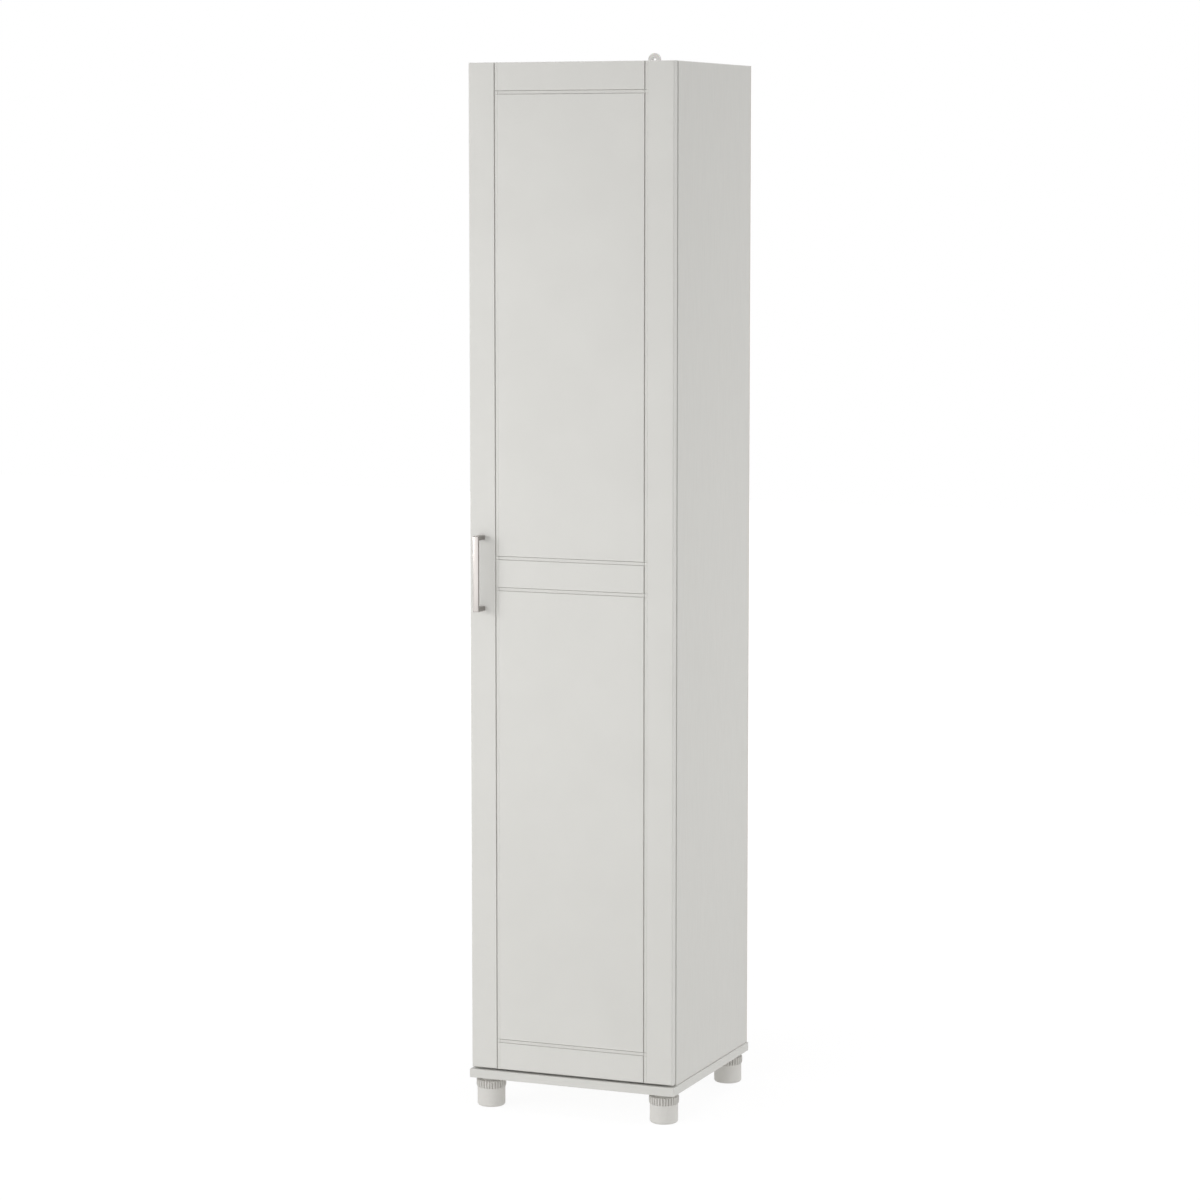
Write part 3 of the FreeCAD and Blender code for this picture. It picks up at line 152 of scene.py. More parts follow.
looks = {
    # tone and texture: size of the noise's lumps along X, Y and Z in mm, its detail and its roughness;
    # depth of the relief in mm

    # Vinyl foil drawn over routed fibreboard: even satin, a broad faint cloud and a fine orange peel.
    # The peel is drawn at 1.6 mm, because the real 0.4 mm is too fine to show.
    "vinylFoil": {"light": "#dad9d5", "dark": "#d8d7d3", "rough": (0.42, 0.50), "depth": 0.02,
                  "strength": 0.25, "tone": ((110, 110, 110), 2.0, 0.5),
                  "texture": ((1.6, 1.6, 1.6), 3.0, 0.5)},

    # Melamine paper pressed on particle board: tone on tone wood grain along the board, with short pores.
    "melamineUpright": {**melamine, "tone": ((1.4, 1.4, 55), 3.0, 0.5),
                        "texture": ((0.7, 0.7, 9), 1.0, 0.5)},
    "melamineLevel": {**melamine, "tone": ((55, 1.4, 1.4), 3.0, 0.5),
                      "texture": ((9, 0.7, 0.7), 1.0, 0.5)},

    # Nickel plated zinc, brushed: a soft gloss drawn out along the bar by fine upright scratches.
    "satinNickel": {"light": "#aaa6a3", "dark": "#a29e9b", "rough": (0.28, 0.36), "depth": 0.008,
                    "strength": 0.3, "tone": ((0.35, 0.35, 14), 3.0, 0.6), "even": {"Metallic": 1.0}},

    # Pressed steel, nickel plated in the drum: bright, with faint dents.
    "nickelPlatedSteel": {"light": "#d6d3cd", "dark": "#cac6c0", "rough": (0.24, 0.36), "depth": 0.01,
                          "strength": 0.3, "tone": ((3, 3, 3), 3.0, 0.6), "even": {"Metallic": 1.0}},

    # Steel screws and nails, zinc plated: a cool, slightly milky gloss.
    "zincPlatedSteel": {"light": "#b4b7ba", "dark": "#9fa3a8", "rough": (0.30, 0.46), "depth": 0.02,
                        "strength": 0.3, "tone": ((1.5, 1.5, 1.5), 3.0, 0.6), "even": {"Metallic": 1.0}},

    # Die cast zinc, left as cast: dull grey with a fine sandy skin.
    "castZinc": {"light": "#9b9d9e", "dark": "#85888a", "rough": (0.42, 0.60), "depth": 0.04,
                 "strength": 0.3, "tone": ((0.8, 0.8, 0.8), 3.0, 0.6), "even": {"Metallic": 1.0}},

    # Injection moulded plastics: a spark eroded mould leaves a fine even grain, drawn about twice its size.
    "mouldedFoot": {"light": "#d8d6d2", "dark": "#d3d1cd", "rough": (0.46, 0.58), "depth": 0.03,
                    "strength": 0.3, "tone": ((0.9, 0.9, 0.9), 2.0, 0.5)},
    "mouldedNylon": {"light": "#f6f5f2", "dark": "#f0efec", "rough": (0.38, 0.50), "depth": 0.02,
                     "strength": 0.3, "tone": ((1.2, 1.2, 1.2), 2.0, 0.5),
                     "even": {"Subsurface Weight": 0.05, "Subsurface Scale": 1.5 * mm}},
    "softPolymer": {"light": "#dcdcd8", "dark": "#cfcfca", "rough": (0.20, 0.32), "depth": 0.01,
                    "strength": 0.3, "tone": ((2, 2, 2), 2.0, 0.5),
                    "even": {"Subsurface Weight": 0.2, "Subsurface Scale": 1.5 * mm}},

    # Turned beech: pale brown with short darker flecks along the dowel.
    "beech": {"light": "#cfac80", "dark": "#b08a5c", "rough": (0.55, 0.70), "depth": 0.03,
              "strength": 0.3, "tone": ((0.6, 0.6, 5), 3.0, 0.5)},
}

hardboard = {
    "inside": "#cfcec9", "light": "#a98f6e", "dark": "#8d7353", "rough": (0.55, 0.75), "depth": 0.04,
    "strength": 0.4, "fibres": ((2.5, 2.5, 1.0), 5.0, 0.65), "clumps": ((25, 25, 25), 2.0, 0.5),
    "clumpShade": [0.88, 0.88, 0.88, 1.0],
    "lacquer": 0.3,  # mm behind the inner face up to which the lacquer shows
}


def hardboardMaterial():
    # Thin fibreboard: lacquered on the inside, bare brown pressed fibres with darker clumps on the outside.
    look = hardboard
    material, tree, shader = startMaterial("lacqueredHardboard")
    fibres = speckle(tree, *look["fibres"])
    clumps = speckle(tree, *look["clumps"])
    brown = blendColours(tree, fibres, toLinear(look["dark"]), toLinear(look["light"]))
    shade = blendColours(tree, clumps, look["clumpShade"], white)
    outer = addNode(tree, "ShaderNodeMix", {0: 1.0, 6: brown, 7: shade}, data_type="RGBA",
                    blend_type="MULTIPLY")
    coords = addNode(tree, "ShaderNodeTexCoord")
    place = addNode(tree, "ShaderNodeSeparateXYZ", {"Vector": coords.outputs["Object"]})
    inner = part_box("back_panel")[0][1] + look["lacquer"] * mm
    behind = addNode(tree, "ShaderNodeMath", {0: place.outputs["Y"], 1: inner}, operation="GREATER_THAN")
    both = addNode(tree, "ShaderNodeMix", {0: behind.outputs["Value"], 6: toLinear(look["inside"]),
                                           7: outer.outputs[2]}, data_type="RGBA")
    finish(tree, shader, both.outputs[2], fibres, look)
    return material


finishes = {name: patternedMaterial(name, look) for name, look in looks.items()}
finishes["lacqueredHardboard"] = hardboardMaterial()

nodeFinish = {
    "left_side_panel": "melamineUpright", "right_side_panel": "melamineUpright",
    "base_board": "melamineLevel", "top_panel": "melamineLevel", "fixed_shelf": "melamineLevel",
    "adjustable_shelf": "melamineLevel", "back_panel": "lacqueredHardboard",
    "door_panel": "vinylFoil", "handle": "satinNickel",
    "shelf_pins": "nickelPlatedSteel", "cam_locks": "castZinc", "wood_dowels": "beech",
    "wall_bracket": "mouldedNylon", "door_bumpers": "softPolymer",
}


def finishOf(node):
    # besides the named ones, hinges are nickel plated, feet moulded, and screws, nails, studs and nuts
    # zinc plated
    if node in nodeFinish:
        return finishes[nodeFinish[node]]
    if node.startswith("hinge_") and not node.endswith(("_screws", "_pins")):
        return finishes["nickelPlatedSteel"]
    if node.startswith("foot_") and not node.startswith("foot_stud"):
        return finishes["mouldedFoot"]
    return finishes["zincPlatedSteel"]


for node, thing in frame["nodes"].items():
    if not thing.material_slots:
        thing.data.materials.append(None)
    for slot in thing.material_slots:
        slot.material = finishOf(node)
print("materials:", len(bpy.data.materials))


# surfaces

def gridFaces(rows, columns, wrapRows=False, wrapColumns=False):
    # quads between neighbouring points of a grid; a wrapped direction joins its last line to its first
    i = np.arange(rows if wrapRows else rows - 1)[:, None]
    j = np.arange(columns if wrapColumns else columns - 1)[None, :]
    iNext = (i + 1) % rows
    jNext = (j + 1) % columns
    corners = [i * columns + j, i * columns + jNext, iNext * columns + jNext, iNext * columns + j]
    return np.stack([np.broadcast_to(c, (i.size, j.size)) for c in corners], axis=-1).reshape(-1, 4)


def closedMesh(name, points, faces):
    # a smooth shell with its faces turned outwards; points less than a thousandth of a millimetre apart
    # are merged
    mesh = bpy.data.meshes.new(name)
    corners = np.asarray(points, float).reshape(-1, 3).tolist()
    mesh.from_pydata(corners, [], [list(map(int, face)) for face in faces])
    shell = bmesh.new()
    shell.from_mesh(mesh)
    bmesh.ops.remove_doubles(shell, verts=shell.verts, dist=0.001 * mm)
    bmesh.ops.recalc_face_normals(shell, faces=shell.faces)
    shell.to_mesh(mesh)
    shell.free()
    mesh.shade_smooth()
    return mesh


def makePiece(name, points, faces, material, body, replaced, sharpAngle):
    # a closed piece in the place of the replaced nodes, smooth but for edges over the angle in degrees
    mesh = closedMesh(name, points, faces)
    mesh.set_sharp_from_angle(angle=math.radians(sharpAngle))
    mesh.materials.append(material)
    piece = bpy.data.objects.new(name, mesh)
    bpy.context.scene.collection.objects.link(piece)
    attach(piece, body)
    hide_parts(*replaced)
    return piece


def cadCopy(name, node, sharpAngle):
    # a copy of a node's mesh, merged, that stands for the node and is worked on in its place
    source = frame["nodes"][node].data
    points = np.empty(3 * len(source.vertices), np.float32)
    source.vertices.foreach_get("co", points)
    faces = [face.vertices for face in source.polygons]
    return makePiece(name, points, faces, finishOf(node), bodyOf[node], [node],
                     sharpAngle)


def combine(piece, points, faces, operation, sharpAngle):
    # joins a closed shell to the piece, cuts it out or keeps what is inside it, and leaves one mesh
    tool = bpy.data.objects.new("tool", closedMesh("tool", points, faces))
    bpy.context.scene.collection.objects.link(tool)
    cut = piece.modifiers.new("combine", "BOOLEAN")
    cut.operation = operation
    cut.solver = "EXACT"
    cut.object = tool
    result = bpy.data.meshes.new_from_object(piece.evaluated_get(bpy.context.evaluated_depsgraph_get()))
    piece.modifiers.clear()
    result.name = piece.name
    result.set_sharp_from_angle(angle=math.radians(sharpAngle))
    piece.data = result
    bpy.data.objects.remove(tool)


def weighNormals(piece):
    # the wide flat faces keep their own normals, and only the narrow ones beside them turn
    weigh = piece.modifiers.new("weigh", "WEIGHTED_NORMAL")
    weigh.keep_sharp = True
    weigh.weight = 90  # of 100


def arc(centre, radius, start, end, count):
    # points of an arc between two angles in degrees
    angle = np.radians(np.linspace(start, end, count))
    return np.stack([centre[0] + radius * np.cos(angle), centre[1] + radius * np.sin(angle)], axis=-1)


def turnedPoints(profile, centre, count, squeeze=None):
    # every point (radius, height) of the profile carried round the upright axis; squeeze(angle) takes
    # something off the radius of the points it is told
    angle = np.linspace(0, 2 * math.pi, count, endpoint=False)
    radius = profile[:, 0][:, None] - (squeeze(angle) if squeeze else 0)
    x = centre[0] + radius * np.cos(angle)
    y = centre[1] + radius * np.sin(angle)
    z = centre[2] + np.broadcast_to(profile[:, 1][:, None], x.shape)
    return np.stack([x, y, z], axis=-1)


def shrinkOutline(outline, inset):
    # each corner moves inwards along the mean of its edges' normals, by the inset measured across them
    leastShare = 0.2  # keeps a very sharp corner from moving too far
    before = outline - np.roll(outline, 1, axis=0)
    after = np.roll(outline, -1, axis=0) - outline
    normals = [np.stack([-edge[:, 1], edge[:, 0]], axis=-1) / np.linalg.norm(edge, axis=1)[:, None]
               for edge in (before, after)]
    mean = normals[0] + normals[1]
    return outline + mean * (inset / np.maximum(0.5 * (mean ** 2).sum(axis=1), leastShare))[:, None]


def slabPoints(outline, low, high, rounding, steps):
    # a flat outline swept from the low to the high level, both rims rounded by a quarter circle:
    # at the angle a the outline is inset by r (1 - sin a) and the level is r (1 - cos a) from the face
    angles = np.radians(np.linspace(0, 90, steps + 1))
    rows = []
    for face, way in ((low, 1), (high, -1)):
        for a in angles[::way]:
            level = face + way * rounding * (1 - math.cos(a))
            flat = shrinkOutline(outline, rounding * (1 - math.sin(a)))
            rows.append(np.column_stack([flat, np.full(len(flat), level)]))
    count = len(outline)
    lastRow = (len(rows) - 1) * count
    faces = [*gridFaces(len(rows), count, False, True), range(count), range(lastRow, lastRow + count)]
    return np.array(rows).reshape(-1, 3), faces


def inMm(box):
    # the two corners of a box, from metres to millimetres
    return [np.array(corner) / mm for corner in box]


# door leaf

door = {
    "frontRound": 2.8, "backRound": 1.5, "roundLines": 7,  # radii of the edges, and grid lines over each
    "grooveInset": 52.8, "grooveOffset": 28.0,  # from the door's edges, and up and down from its middle
    "cupInset": 20.0, "cupRadius": 17.5, "cupDepth": 12.6, "cupSides": 64,  # the hinges' bores
    "plain": 45, "support": 0.4,  # between grid lines on the plain faces, and beside a curve
    "sharp": 50,
    # distance from the middle of a groove, up or to the left, and depth there: a flat floor with a narrow
    # quirk at each side, the upper or left one deeper, and steep walls with eased tops
    "groove": [(-3.9, 0), (-3.7, 0.08), (-3.55, 0.35), (-3.1, 3.0), (-2.85, 3.0), (-2.6, 2.0),
               (2.45, 2.0), (2.7, 3.9), (3.1, 3.9), (3.55, 0.35), (3.7, 0.08), (3.9, 0)],
}


def grooveDepth(distance):
    # straight lines between the profile's points
    return np.interp(distance, *zip(*door["groove"]))


def doorLines(low, high, grooves, side):
    # grid lines in mm: close together over the rounded edges and the grooves, wide apart on the plain faces
    radius = door["frontRound"]
    turn = np.sin(np.radians(np.linspace(0, 90, door["roundLines"])))
    edge = radius + door["support"]
    reach = door["groove"][-1][0] + door["support"]
    flank = np.array([-reach, 0, reach] + [distance for distance, depth in door["groove"]])
    lines = [low + radius * (1 - turn), high - radius * (1 - turn), [low + edge, high - edge]]
    lines += [groove + side * flank for groove in grooves]
    lines.append(np.linspace(low, high, int((high - low) / door["plain"])))
    return np.unique(np.round(np.concatenate(lines), 3))


def roundedBack(distance, radius):
    # how far a quarter-round edge falls behind the face, at a distance from the edge
    a = np.clip(radius - distance, 0, radius)
    return radius - np.sqrt(radius ** 2 - a ** 2)


def drill(piece, centre, radius, depth, sides):
    # takes a round hole along -Y out of a piece, from a millimetre outside its face
    angle = np.linspace(0, 2 * math.pi, sides, endpoint=False)
    ring = np.stack([centre[0] + radius * np.cos(angle), np.full(sides, centre[1] + mm),
                     centre[2] + radius * np.sin(angle)], axis=-1)
    bottom = ring - np.array([0, depth + mm, 0])
    faces = [*gridFaces(2, sides, False, True), range(sides), range(sides, 2 * sides)]
    combine(piece, np.concatenate([ring, bottom]), faces, "DIFFERENCE", door["sharp"])


def doorLeaf():
    # front: at each (x, z) the deepest of edge rounding, upright grooves and the level ones between them;
    # back: a like grid with its own edge rounding; the two rims are joined by the four edges
    low, high = inMm(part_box("door_panel"))
    grooveX = high[0] - door["grooveInset"]
    middle = (low[2] + high[2]) / 2
    levels = [low[2] + door["grooveInset"], middle - door["grooveOffset"], middle + door["grooveOffset"],
              high[2] - door["grooveInset"]]
    xs = doorLines(low[0], high[0], [-grooveX, grooveX], -1)
    zs = doorLines(low[2], high[2], levels, 1)
    x, z = np.meshgrid(xs, zs)
    fromEdge = np.minimum(np.minimum(x - low[0], high[0] - x), np.minimum(z - low[2], high[2] - z))
    depth = roundedBack(fromEdge, door["frontRound"])
    for place in (-grooveX, grooveX):
        depth = np.maximum(depth, grooveDepth(place - x))
    for level in levels:
        depth = np.maximum(depth, np.where(np.abs(x) <= grooveX, grooveDepth(z - level), 0))
    front = np.stack([x, low[1] + depth, z], axis=-1).reshape(-1, 3)
    back = np.stack([x, high[1] - roundedBack(fromEdge, door["backRound"]), z], axis=-1).reshape(-1, 3)
    rows, columns = x.shape
    sheet = gridFaces(rows, columns)
    index = np.arange(rows * columns).reshape(rows, columns)
    rim = np.concatenate([index[0, :-1], index[:-1, -1], index[-1, :0:-1], index[:0:-1, 0]])
    rimNext = np.roll(rim, -1)
    edges = np.stack([rim, rimNext, rimNext + rows * columns, rim + rows * columns], axis=-1)
    faces = np.concatenate([sheet, sheet[:, ::-1] + rows * columns, edges])
    leaf = makePiece("doorLeaf", np.concatenate([front, back]) * mm, faces, finishes["vinylFoil"], "door",
                     ["door_panel"], door["sharp"])
    for number in range(1, 5):
        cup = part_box(f"hinge_cup_{number}")
        centre = [(high[0] - door["cupInset"]) * mm, high[1] * mm, (cup[0][2] + cup[1][2]) / 2]
        drill(leaf, centre, door["cupRadius"] * mm, door["cupDepth"] * mm, door["cupSides"])
    weighNormals(leaf)


doorLeaf()
print("door leaf done")


# boards

board = {
    "clear": 0.02,  # mm that the rounding box stands outside the board
    "steps": 4, "sharp": 38,
    # piece: the node that it stands for and the radius of its edges in mm
    "pieces": {
        "baseBoard": ("base_board", 1.0), "leftSide": ("left_side_panel", 1.5),
        "rightSide": ("right_side_panel", 1.5), "topBoard": ("top_panel", 1.0),
        "fixedShelf": ("fixed_shelf", 1.0), "looseShelf": ("adjustable_shelf", 1.0),
    },
}


def roundedBox(low, high, rounding, steps):
    # a sphere's grid pulled apart into a box: each point is the nearest inner corner plus the rounding
    # times the direction (cos v cos u, cos v sin u, sin v)
    quarter = np.linspace(0, 90, steps + 1)
    u = np.radians(np.concatenate([quarter + 90 * k for k in range(4)]))
    v = np.radians(np.concatenate([quarter - 90, quarter]))[:, None]
    way = np.stack([np.cos(v) * np.cos(u), np.cos(v) * np.sin(u), np.sin(v) + 0 * u], axis=-1)
    side = np.stack([np.repeat([1, -1, -1, 1], steps + 1) + 0 * v,
                     np.repeat([1, 1, -1, -1], steps + 1) + 0 * v,
                     np.repeat([-1, 1], steps + 1)[:, None] + 0 * u], axis=-1)
    points = (low + high) / 2 + side * ((high - low) / 2 - rounding) + rounding * way
    rows, columns = way.shape[:2]
    corners = np.arange(4) * (steps + 1)
    return points, [*gridFaces(rows, columns, False, True), corners, (rows - 1) * columns + corners]


def softBoard(name, node, rim):
    # the drilled board with its sharp outer edges taken off by a rounded box a hair larger than it
    piece = cadCopy(name, node, board["sharp"])
    low, high = (np.array(corner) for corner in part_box(node))
    clear = board["clear"] * mm
    shell, shellFaces = roundedBox(low - clear, high + clear, rim * mm, board["steps"])
    combine(piece, shell, shellFaces, "INTERSECT", board["sharp"])
    weighNormals(piece)


for name, (node, rim) in board["pieces"].items():
    softBoard(name, node, rim)
print("boards done")


# handle

handle = {
    "width": 11.0, "bar": 5.0, "post": 8.0,  # mm, the last two being thicknesses in the side view
    "rim": 0.9, "rimSteps": 3, "outerCorner": 1.0, "innerCorner": 1.5, "cornerPoints": 5, "sharp": 30,
}


def barHandle():
    # the side outline, a flat U, swept across its width with rounded rims; its corners are short arcs
    low, high = inMm(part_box("handle"))
    front, face = low[1], high[1]
    under = front + handle["bar"]
    r, q, count = handle["outerCorner"], handle["innerCorner"], handle["cornerPoints"]
    bottom, top = low[2], high[2]
    innerLow, innerHigh = bottom + handle["post"], top - handle["post"]
    outline = np.concatenate([
        [[face, bottom]], [[face, innerLow]],
        arc((under + q, innerLow + q), q, 270, 180, count),
        arc((under + q, innerHigh - q), q, 180, 90, count),
        [[face, innerHigh]], [[face, top]],
        arc((front + r, top - r), r, 90, 180, count),
        arc((front + r, bottom + r), r, 180, 270, count),
    ])
    middle, half = (low[0] + high[0]) / 2, handle["width"] / 2
    points, faces = slabPoints(outline, middle - half, middle + half, handle["rim"], handle["rimSteps"])
    makePiece("barHandle", points[:, [2, 0, 1]] * mm, faces, finishes["satinNickel"], "door", ["handle"],
              handle["sharp"])


barHandle()
print("handle done")


# feet

foot = {
    # mm: the hollow body, and the boss inside it that holds the stud
    "height": 53.6, "radius": 25.5, "wall": 3.0, "ceiling": 9.0, "bottomRound": 4.5,
    "boss": 8.0, "bossLow": 13.6, "bore": 4.06,
    # the recessed neck under the base, the rim of the collar, and the collar with its taper to the body
    "neckRadius": 17.0, "neckHeight": 5.0, "neckEdge": 0.6, "rim": 1.2,
    "collarRadius": 27.15, "collarHeight": 14.8, "taper": 4.2,
    # the real collar has 40 ribs or more; 32 are drawn, because finer ones don't show. A gap starts where
    # the wave passes ribShare, and ribFlank says how steep its sides are
    "ribs": 32, "ribDepth": 4.0, "ribShare": 0.5, "ribFlank": 6,
    # rows of points on rim, collar, taper, plain wall and bottom edge, and points around
    "rimRows": 5, "collarRows": 6, "taperRows": 7, "wallRows": 3, "bottomRows": 8, "around": 480,
    "rowGap": 0.5, "wallLow": 8,  # between the rows of two runs, and height of the lowest plain row
    "sharp": 40,
}


def footProfile():
    # closed outline (radius, height) of the wall, from the bore over the top, down outside and up inside;
    # the weight says how much of the rib gaps each point takes
    f = foot
    top, rim, edge = f["height"], f["rim"], f["neckEdge"]
    collar, radius = f["collarRadius"], f["radius"]
    shoulder = top - f["neckHeight"]
    collarLow = top - f["collarHeight"]
    ceiling = top - f["ceiling"]
    inner = radius - f["wall"]
    bottom = f["bottomRound"]
    fall = np.linspace(0, 1, f["taperRows"])
    swell = np.column_stack([collar - (collar - radius) * fall ** 2, collarLow - f["taper"] * fall])
    collarLevels = np.linspace(shoulder - 2 * rim, collarLow + f["rowGap"], f["collarRows"])
    wallLevels = np.linspace(collarLow - f["taper"] - 2 * f["rowGap"], f["wallLow"], f["wallRows"])
    runs = [
        (np.array([[f["bore"], top], [f["neckRadius"] - edge, top], [f["neckRadius"], top - edge],
                   [f["neckRadius"], shoulder]]), 0),
        (arc((collar - rim, shoulder - rim), rim, 90, 0, f["rimRows"]), 1),
        (np.column_stack([np.full(f["collarRows"], collar), collarLevels]), 1),
        (swell, 1 - fall ** 3),
        (np.column_stack([np.full(f["wallRows"], radius), wallLevels]), 0),
        (arc((radius - bottom, bottom), bottom, 0, -90, f["bottomRows"]), 0),
        (np.array([[inner - bottom, 0], [inner, bottom], [inner, ceiling], [f["boss"], ceiling],
                   [f["boss"], f["bossLow"]], [f["bore"], f["bossLow"]]]), 0),
    ]
    weights = [np.full(len(points), 1.0) * weight for points, weight in runs]
    return np.concatenate([points for points, weight in runs]), np.concatenate(weights)


def ribbedFoot(corner):
    # the outline turned about the stud; round the collar the radius dips between the ribs by
    # depth * (a flat-bottomed wave of the angle, rib count waves a turn)
    low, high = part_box(f"foot_{corner}")
    centre = [(low[0] + high[0]) / 2 / mm, (low[1] + high[1]) / 2 / mm, low[2] / mm]
    profile, weight = footProfile()

    def squeeze(angle):
        wave = 0.5 - 0.5 * np.cos(angle * foot["ribs"])
        gap = np.clip((wave - foot["ribShare"]) * foot["ribFlank"] + 0.5, 0, 1)
        return foot["ribDepth"] * weight[:, None] * gap * gap * (3 - 2 * gap)

    points = turnedPoints(profile, centre, foot["around"], squeeze)
    faces = gridFaces(len(profile), foot["around"], True, True)
    makePiece(f"ribbedFoot_{corner}", points * mm, faces, finishes["mouldedFoot"], f"foot_{corner}",
              [f"foot_{corner}"], foot["sharp"])


for corner in ("front_left", "front_right", "rear_left", "rear_right"):
    ribbedFoot(corner)
print("feet done")


# wall bracket

bracket = {
    # the tab with the radius of its hole and how far the countersink goes out and in
    "width": 25.0, "thick": 4.0, "holeHeight": 13.5, "hole": 2.5, "sunk": 2.5, "sunkDeep": 3.1,
    # the leg, the rounding of its inner corner and of its front, and how far it stops short of the back
    "leg": 30.0, "legThick": 3.0, "fillet": 3.0, "toe": 1.0, "short": 0.2,
    "rim": 0.8, "sharp": 38,
    # points round the top, down each side and along the bottom, over the fillet and over the toe
    "topPoints": 33, "sidePoints": 7, "bottomPoints": 12, "filletPoints": 6, "toePoints": 4,
    "tabRimSteps": 4, "legRimSteps": 3,
}


def tabPoints(centre, front, back):
    # loops round the hole from its back edge over the countersink, the front face, the rounded rim and the
    # back face; the outline is a half circle above the hole and the nearest of three sides below it
    b = bracket
    half, drop, rim = b["width"] / 2, b["holeHeight"], b["rim"]
    corner = math.atan2(drop, half)
    angle = np.concatenate([np.linspace(0, math.pi, b["topPoints"]),
                            np.linspace(math.pi, math.pi + corner, b["sidePoints"])[1:],
                            np.linspace(math.pi + corner, 2 * math.pi - corner, b["bottomPoints"])[1:],
                            np.linspace(2 * math.pi - corner, 2 * math.pi, b["sidePoints"])[1:-1]])
    tiny = 1e-6
    reach = np.where(np.sin(angle) >= -tiny, half,
                     np.minimum(half / np.maximum(np.abs(np.cos(angle)), tiny),
                                drop / np.maximum(-np.sin(angle), tiny)))
    turn = np.radians(np.linspace(0, 90, b["tabRimSteps"] + 1))
    bore = np.full(angle.size, b["hole"])
    loops = [(bore, back), (bore, front + b["sunkDeep"]), (bore + b["sunk"], front)]
    loops += [(reach - rim * (1 - math.sin(t)), front + rim * (1 - math.cos(t))) for t in turn]
    loops += [(reach - rim * (1 - math.sin(t)), back - rim * (1 - math.cos(t))) for t in turn[::-1]]
    rings = [np.stack([centre[0] + radius * np.cos(angle), np.full(angle.size, level),
                       centre[1] + radius * np.sin(angle)], axis=-1) for radius, level in loops]
    return np.array(rings), gridFaces(len(rings), angle.size, True, True)


def wallBracket():
    # the round-topped tab joined with a leg, whose side outline is an L with a curved inner corner
    b = bracket
    low, high = inMm(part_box("wall_bracket"))
    middle, half = (low[0] + high[0]) / 2, b["width"] / 2
    floor, front, back = low[2], high[1] - b["thick"], high[1]
    tab, tabFaces = tabPoints((middle, floor + b["holeHeight"]), front, back)
    piece = makePiece("wallBracket", tab * mm, tabFaces, finishes["mouldedNylon"], "root", ["wall_bracket"],
                      b["sharp"])
    q, toe, top = b["fillet"], b["toe"], floor + b["legThick"]
    heel = back - b["short"]
    outline = np.concatenate([
        [[heel, floor]], [[heel, top + q]], [[front, top + q]],
        arc((front - q, top + q), q, 0, -90, b["filletPoints"])[1:],
        arc((back - b["leg"] + toe, top - toe), toe, 90, 180, b["toePoints"]), [[back - b["leg"], floor]],
    ])
    points, faces = slabPoints(outline, middle - half, middle + half, b["rim"], b["legRimSteps"])
    combine(piece, points[:, [2, 0, 1]] * mm, faces, "UNION", b["sharp"])


wallBracket()
print("bracket done")


# hinges, shelf pins and cams

softEdge = {
    "flat": 1,  # degrees up to which triangles count as one face
    "bevelled": 32, "segments": 2,  # degrees from which an edge is rounded, and in how many steps
    "sharp": 38,
    # width in mm of the rounded edge that the press or the tumbling drum leaves on each
    "width": {"hinge_cup": 0.25, "hinge_arm": 0.45, "hinge_plate": 0.6, "shelf_pins": 0.4,
              "cam_locks": 0.3},
}


def softEdged(node, width):
    # the node's solid with its flat triangles joined to whole faces and its sharp edges rounded
    name = "soft" + "".join(word.capitalize() for word in node.split("_"))
    piece = cadCopy(name, node, softEdge["sharp"])
    join = piece.modifiers.new("join", "DECIMATE")
    join.decimate_type = "DISSOLVE"
    join.angle_limit = math.radians(softEdge["flat"])
    bevel = piece.modifiers.new("bevel", "BEVEL")
    bevel.width = width * mm
    bevel.segments = softEdge["segments"]
    bevel.limit_method = "ANGLE"
    bevel.angle_limit = math.radians(softEdge["bevelled"])
    weighNormals(piece)


for node in sorted(bodyOf):
    kind = node.rstrip("_1234")
    if kind in softEdge["width"]:
        softEdged(node, softEdge["width"][kind])


# door bumpers

bumper = {"radius": 4.0, "foot": 0.5, "domeRows": 9, "around": 48, "sharp": 50}


def softBumpers():
    # each a lens on a short straight foot: the height falls from the middle as the square root of
    # 1 - (r / R) ** 2
    low, high = inMm(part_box("door_bumpers"))
    radius, straight, around = bumper["radius"], bumper["foot"], bumper["around"]
    depth = high[1] - low[1]
    turn = np.radians(np.linspace(0, 90, bumper["domeRows"]))
    dome = np.column_stack([radius * np.cos(turn), straight + (depth - straight) * np.sin(turn)])
    profile = np.concatenate([[[0.0, 0.0], [radius, 0.0]], dome])
    points, faces = [], []
    for level in (low[2] + radius, high[2] - radius):
        shell = turnedPoints(profile, [(low[0] + high[0]) / 2, -level, 0.0], around)
        faces.append(gridFaces(len(profile), around, False, True) + around * len(profile) * len(points))
        points.append(np.stack([shell[..., 0], high[1] - shell[..., 2], -shell[..., 1]], axis=-1))
    makePiece("softBumpers", np.array(points) * mm, np.concatenate(faces), finishes["softPolymer"],
              bodyOf["door_bumpers"], ["door_bumpers"], bumper["sharp"])


softBumpers()
print("hardware done")


# studio: pale floor, soft boxes and the camera

studio = {
    "floorSide": 24.0, "floorColour": "#dcdcda", "floorShare": 0.12,
    # distances from the cupboard's axis where a glow starts and stops changing, and its strength at each
    "seenGlow": (1.2, 3.5, 0.91, 1.0), "underGlow": (0.12, 0.45, 0.36, 0.0),
    # the same for the level light, by the height of its direction
    "levelLight": (0.05, 0.75, 0.505, 0.60),
}

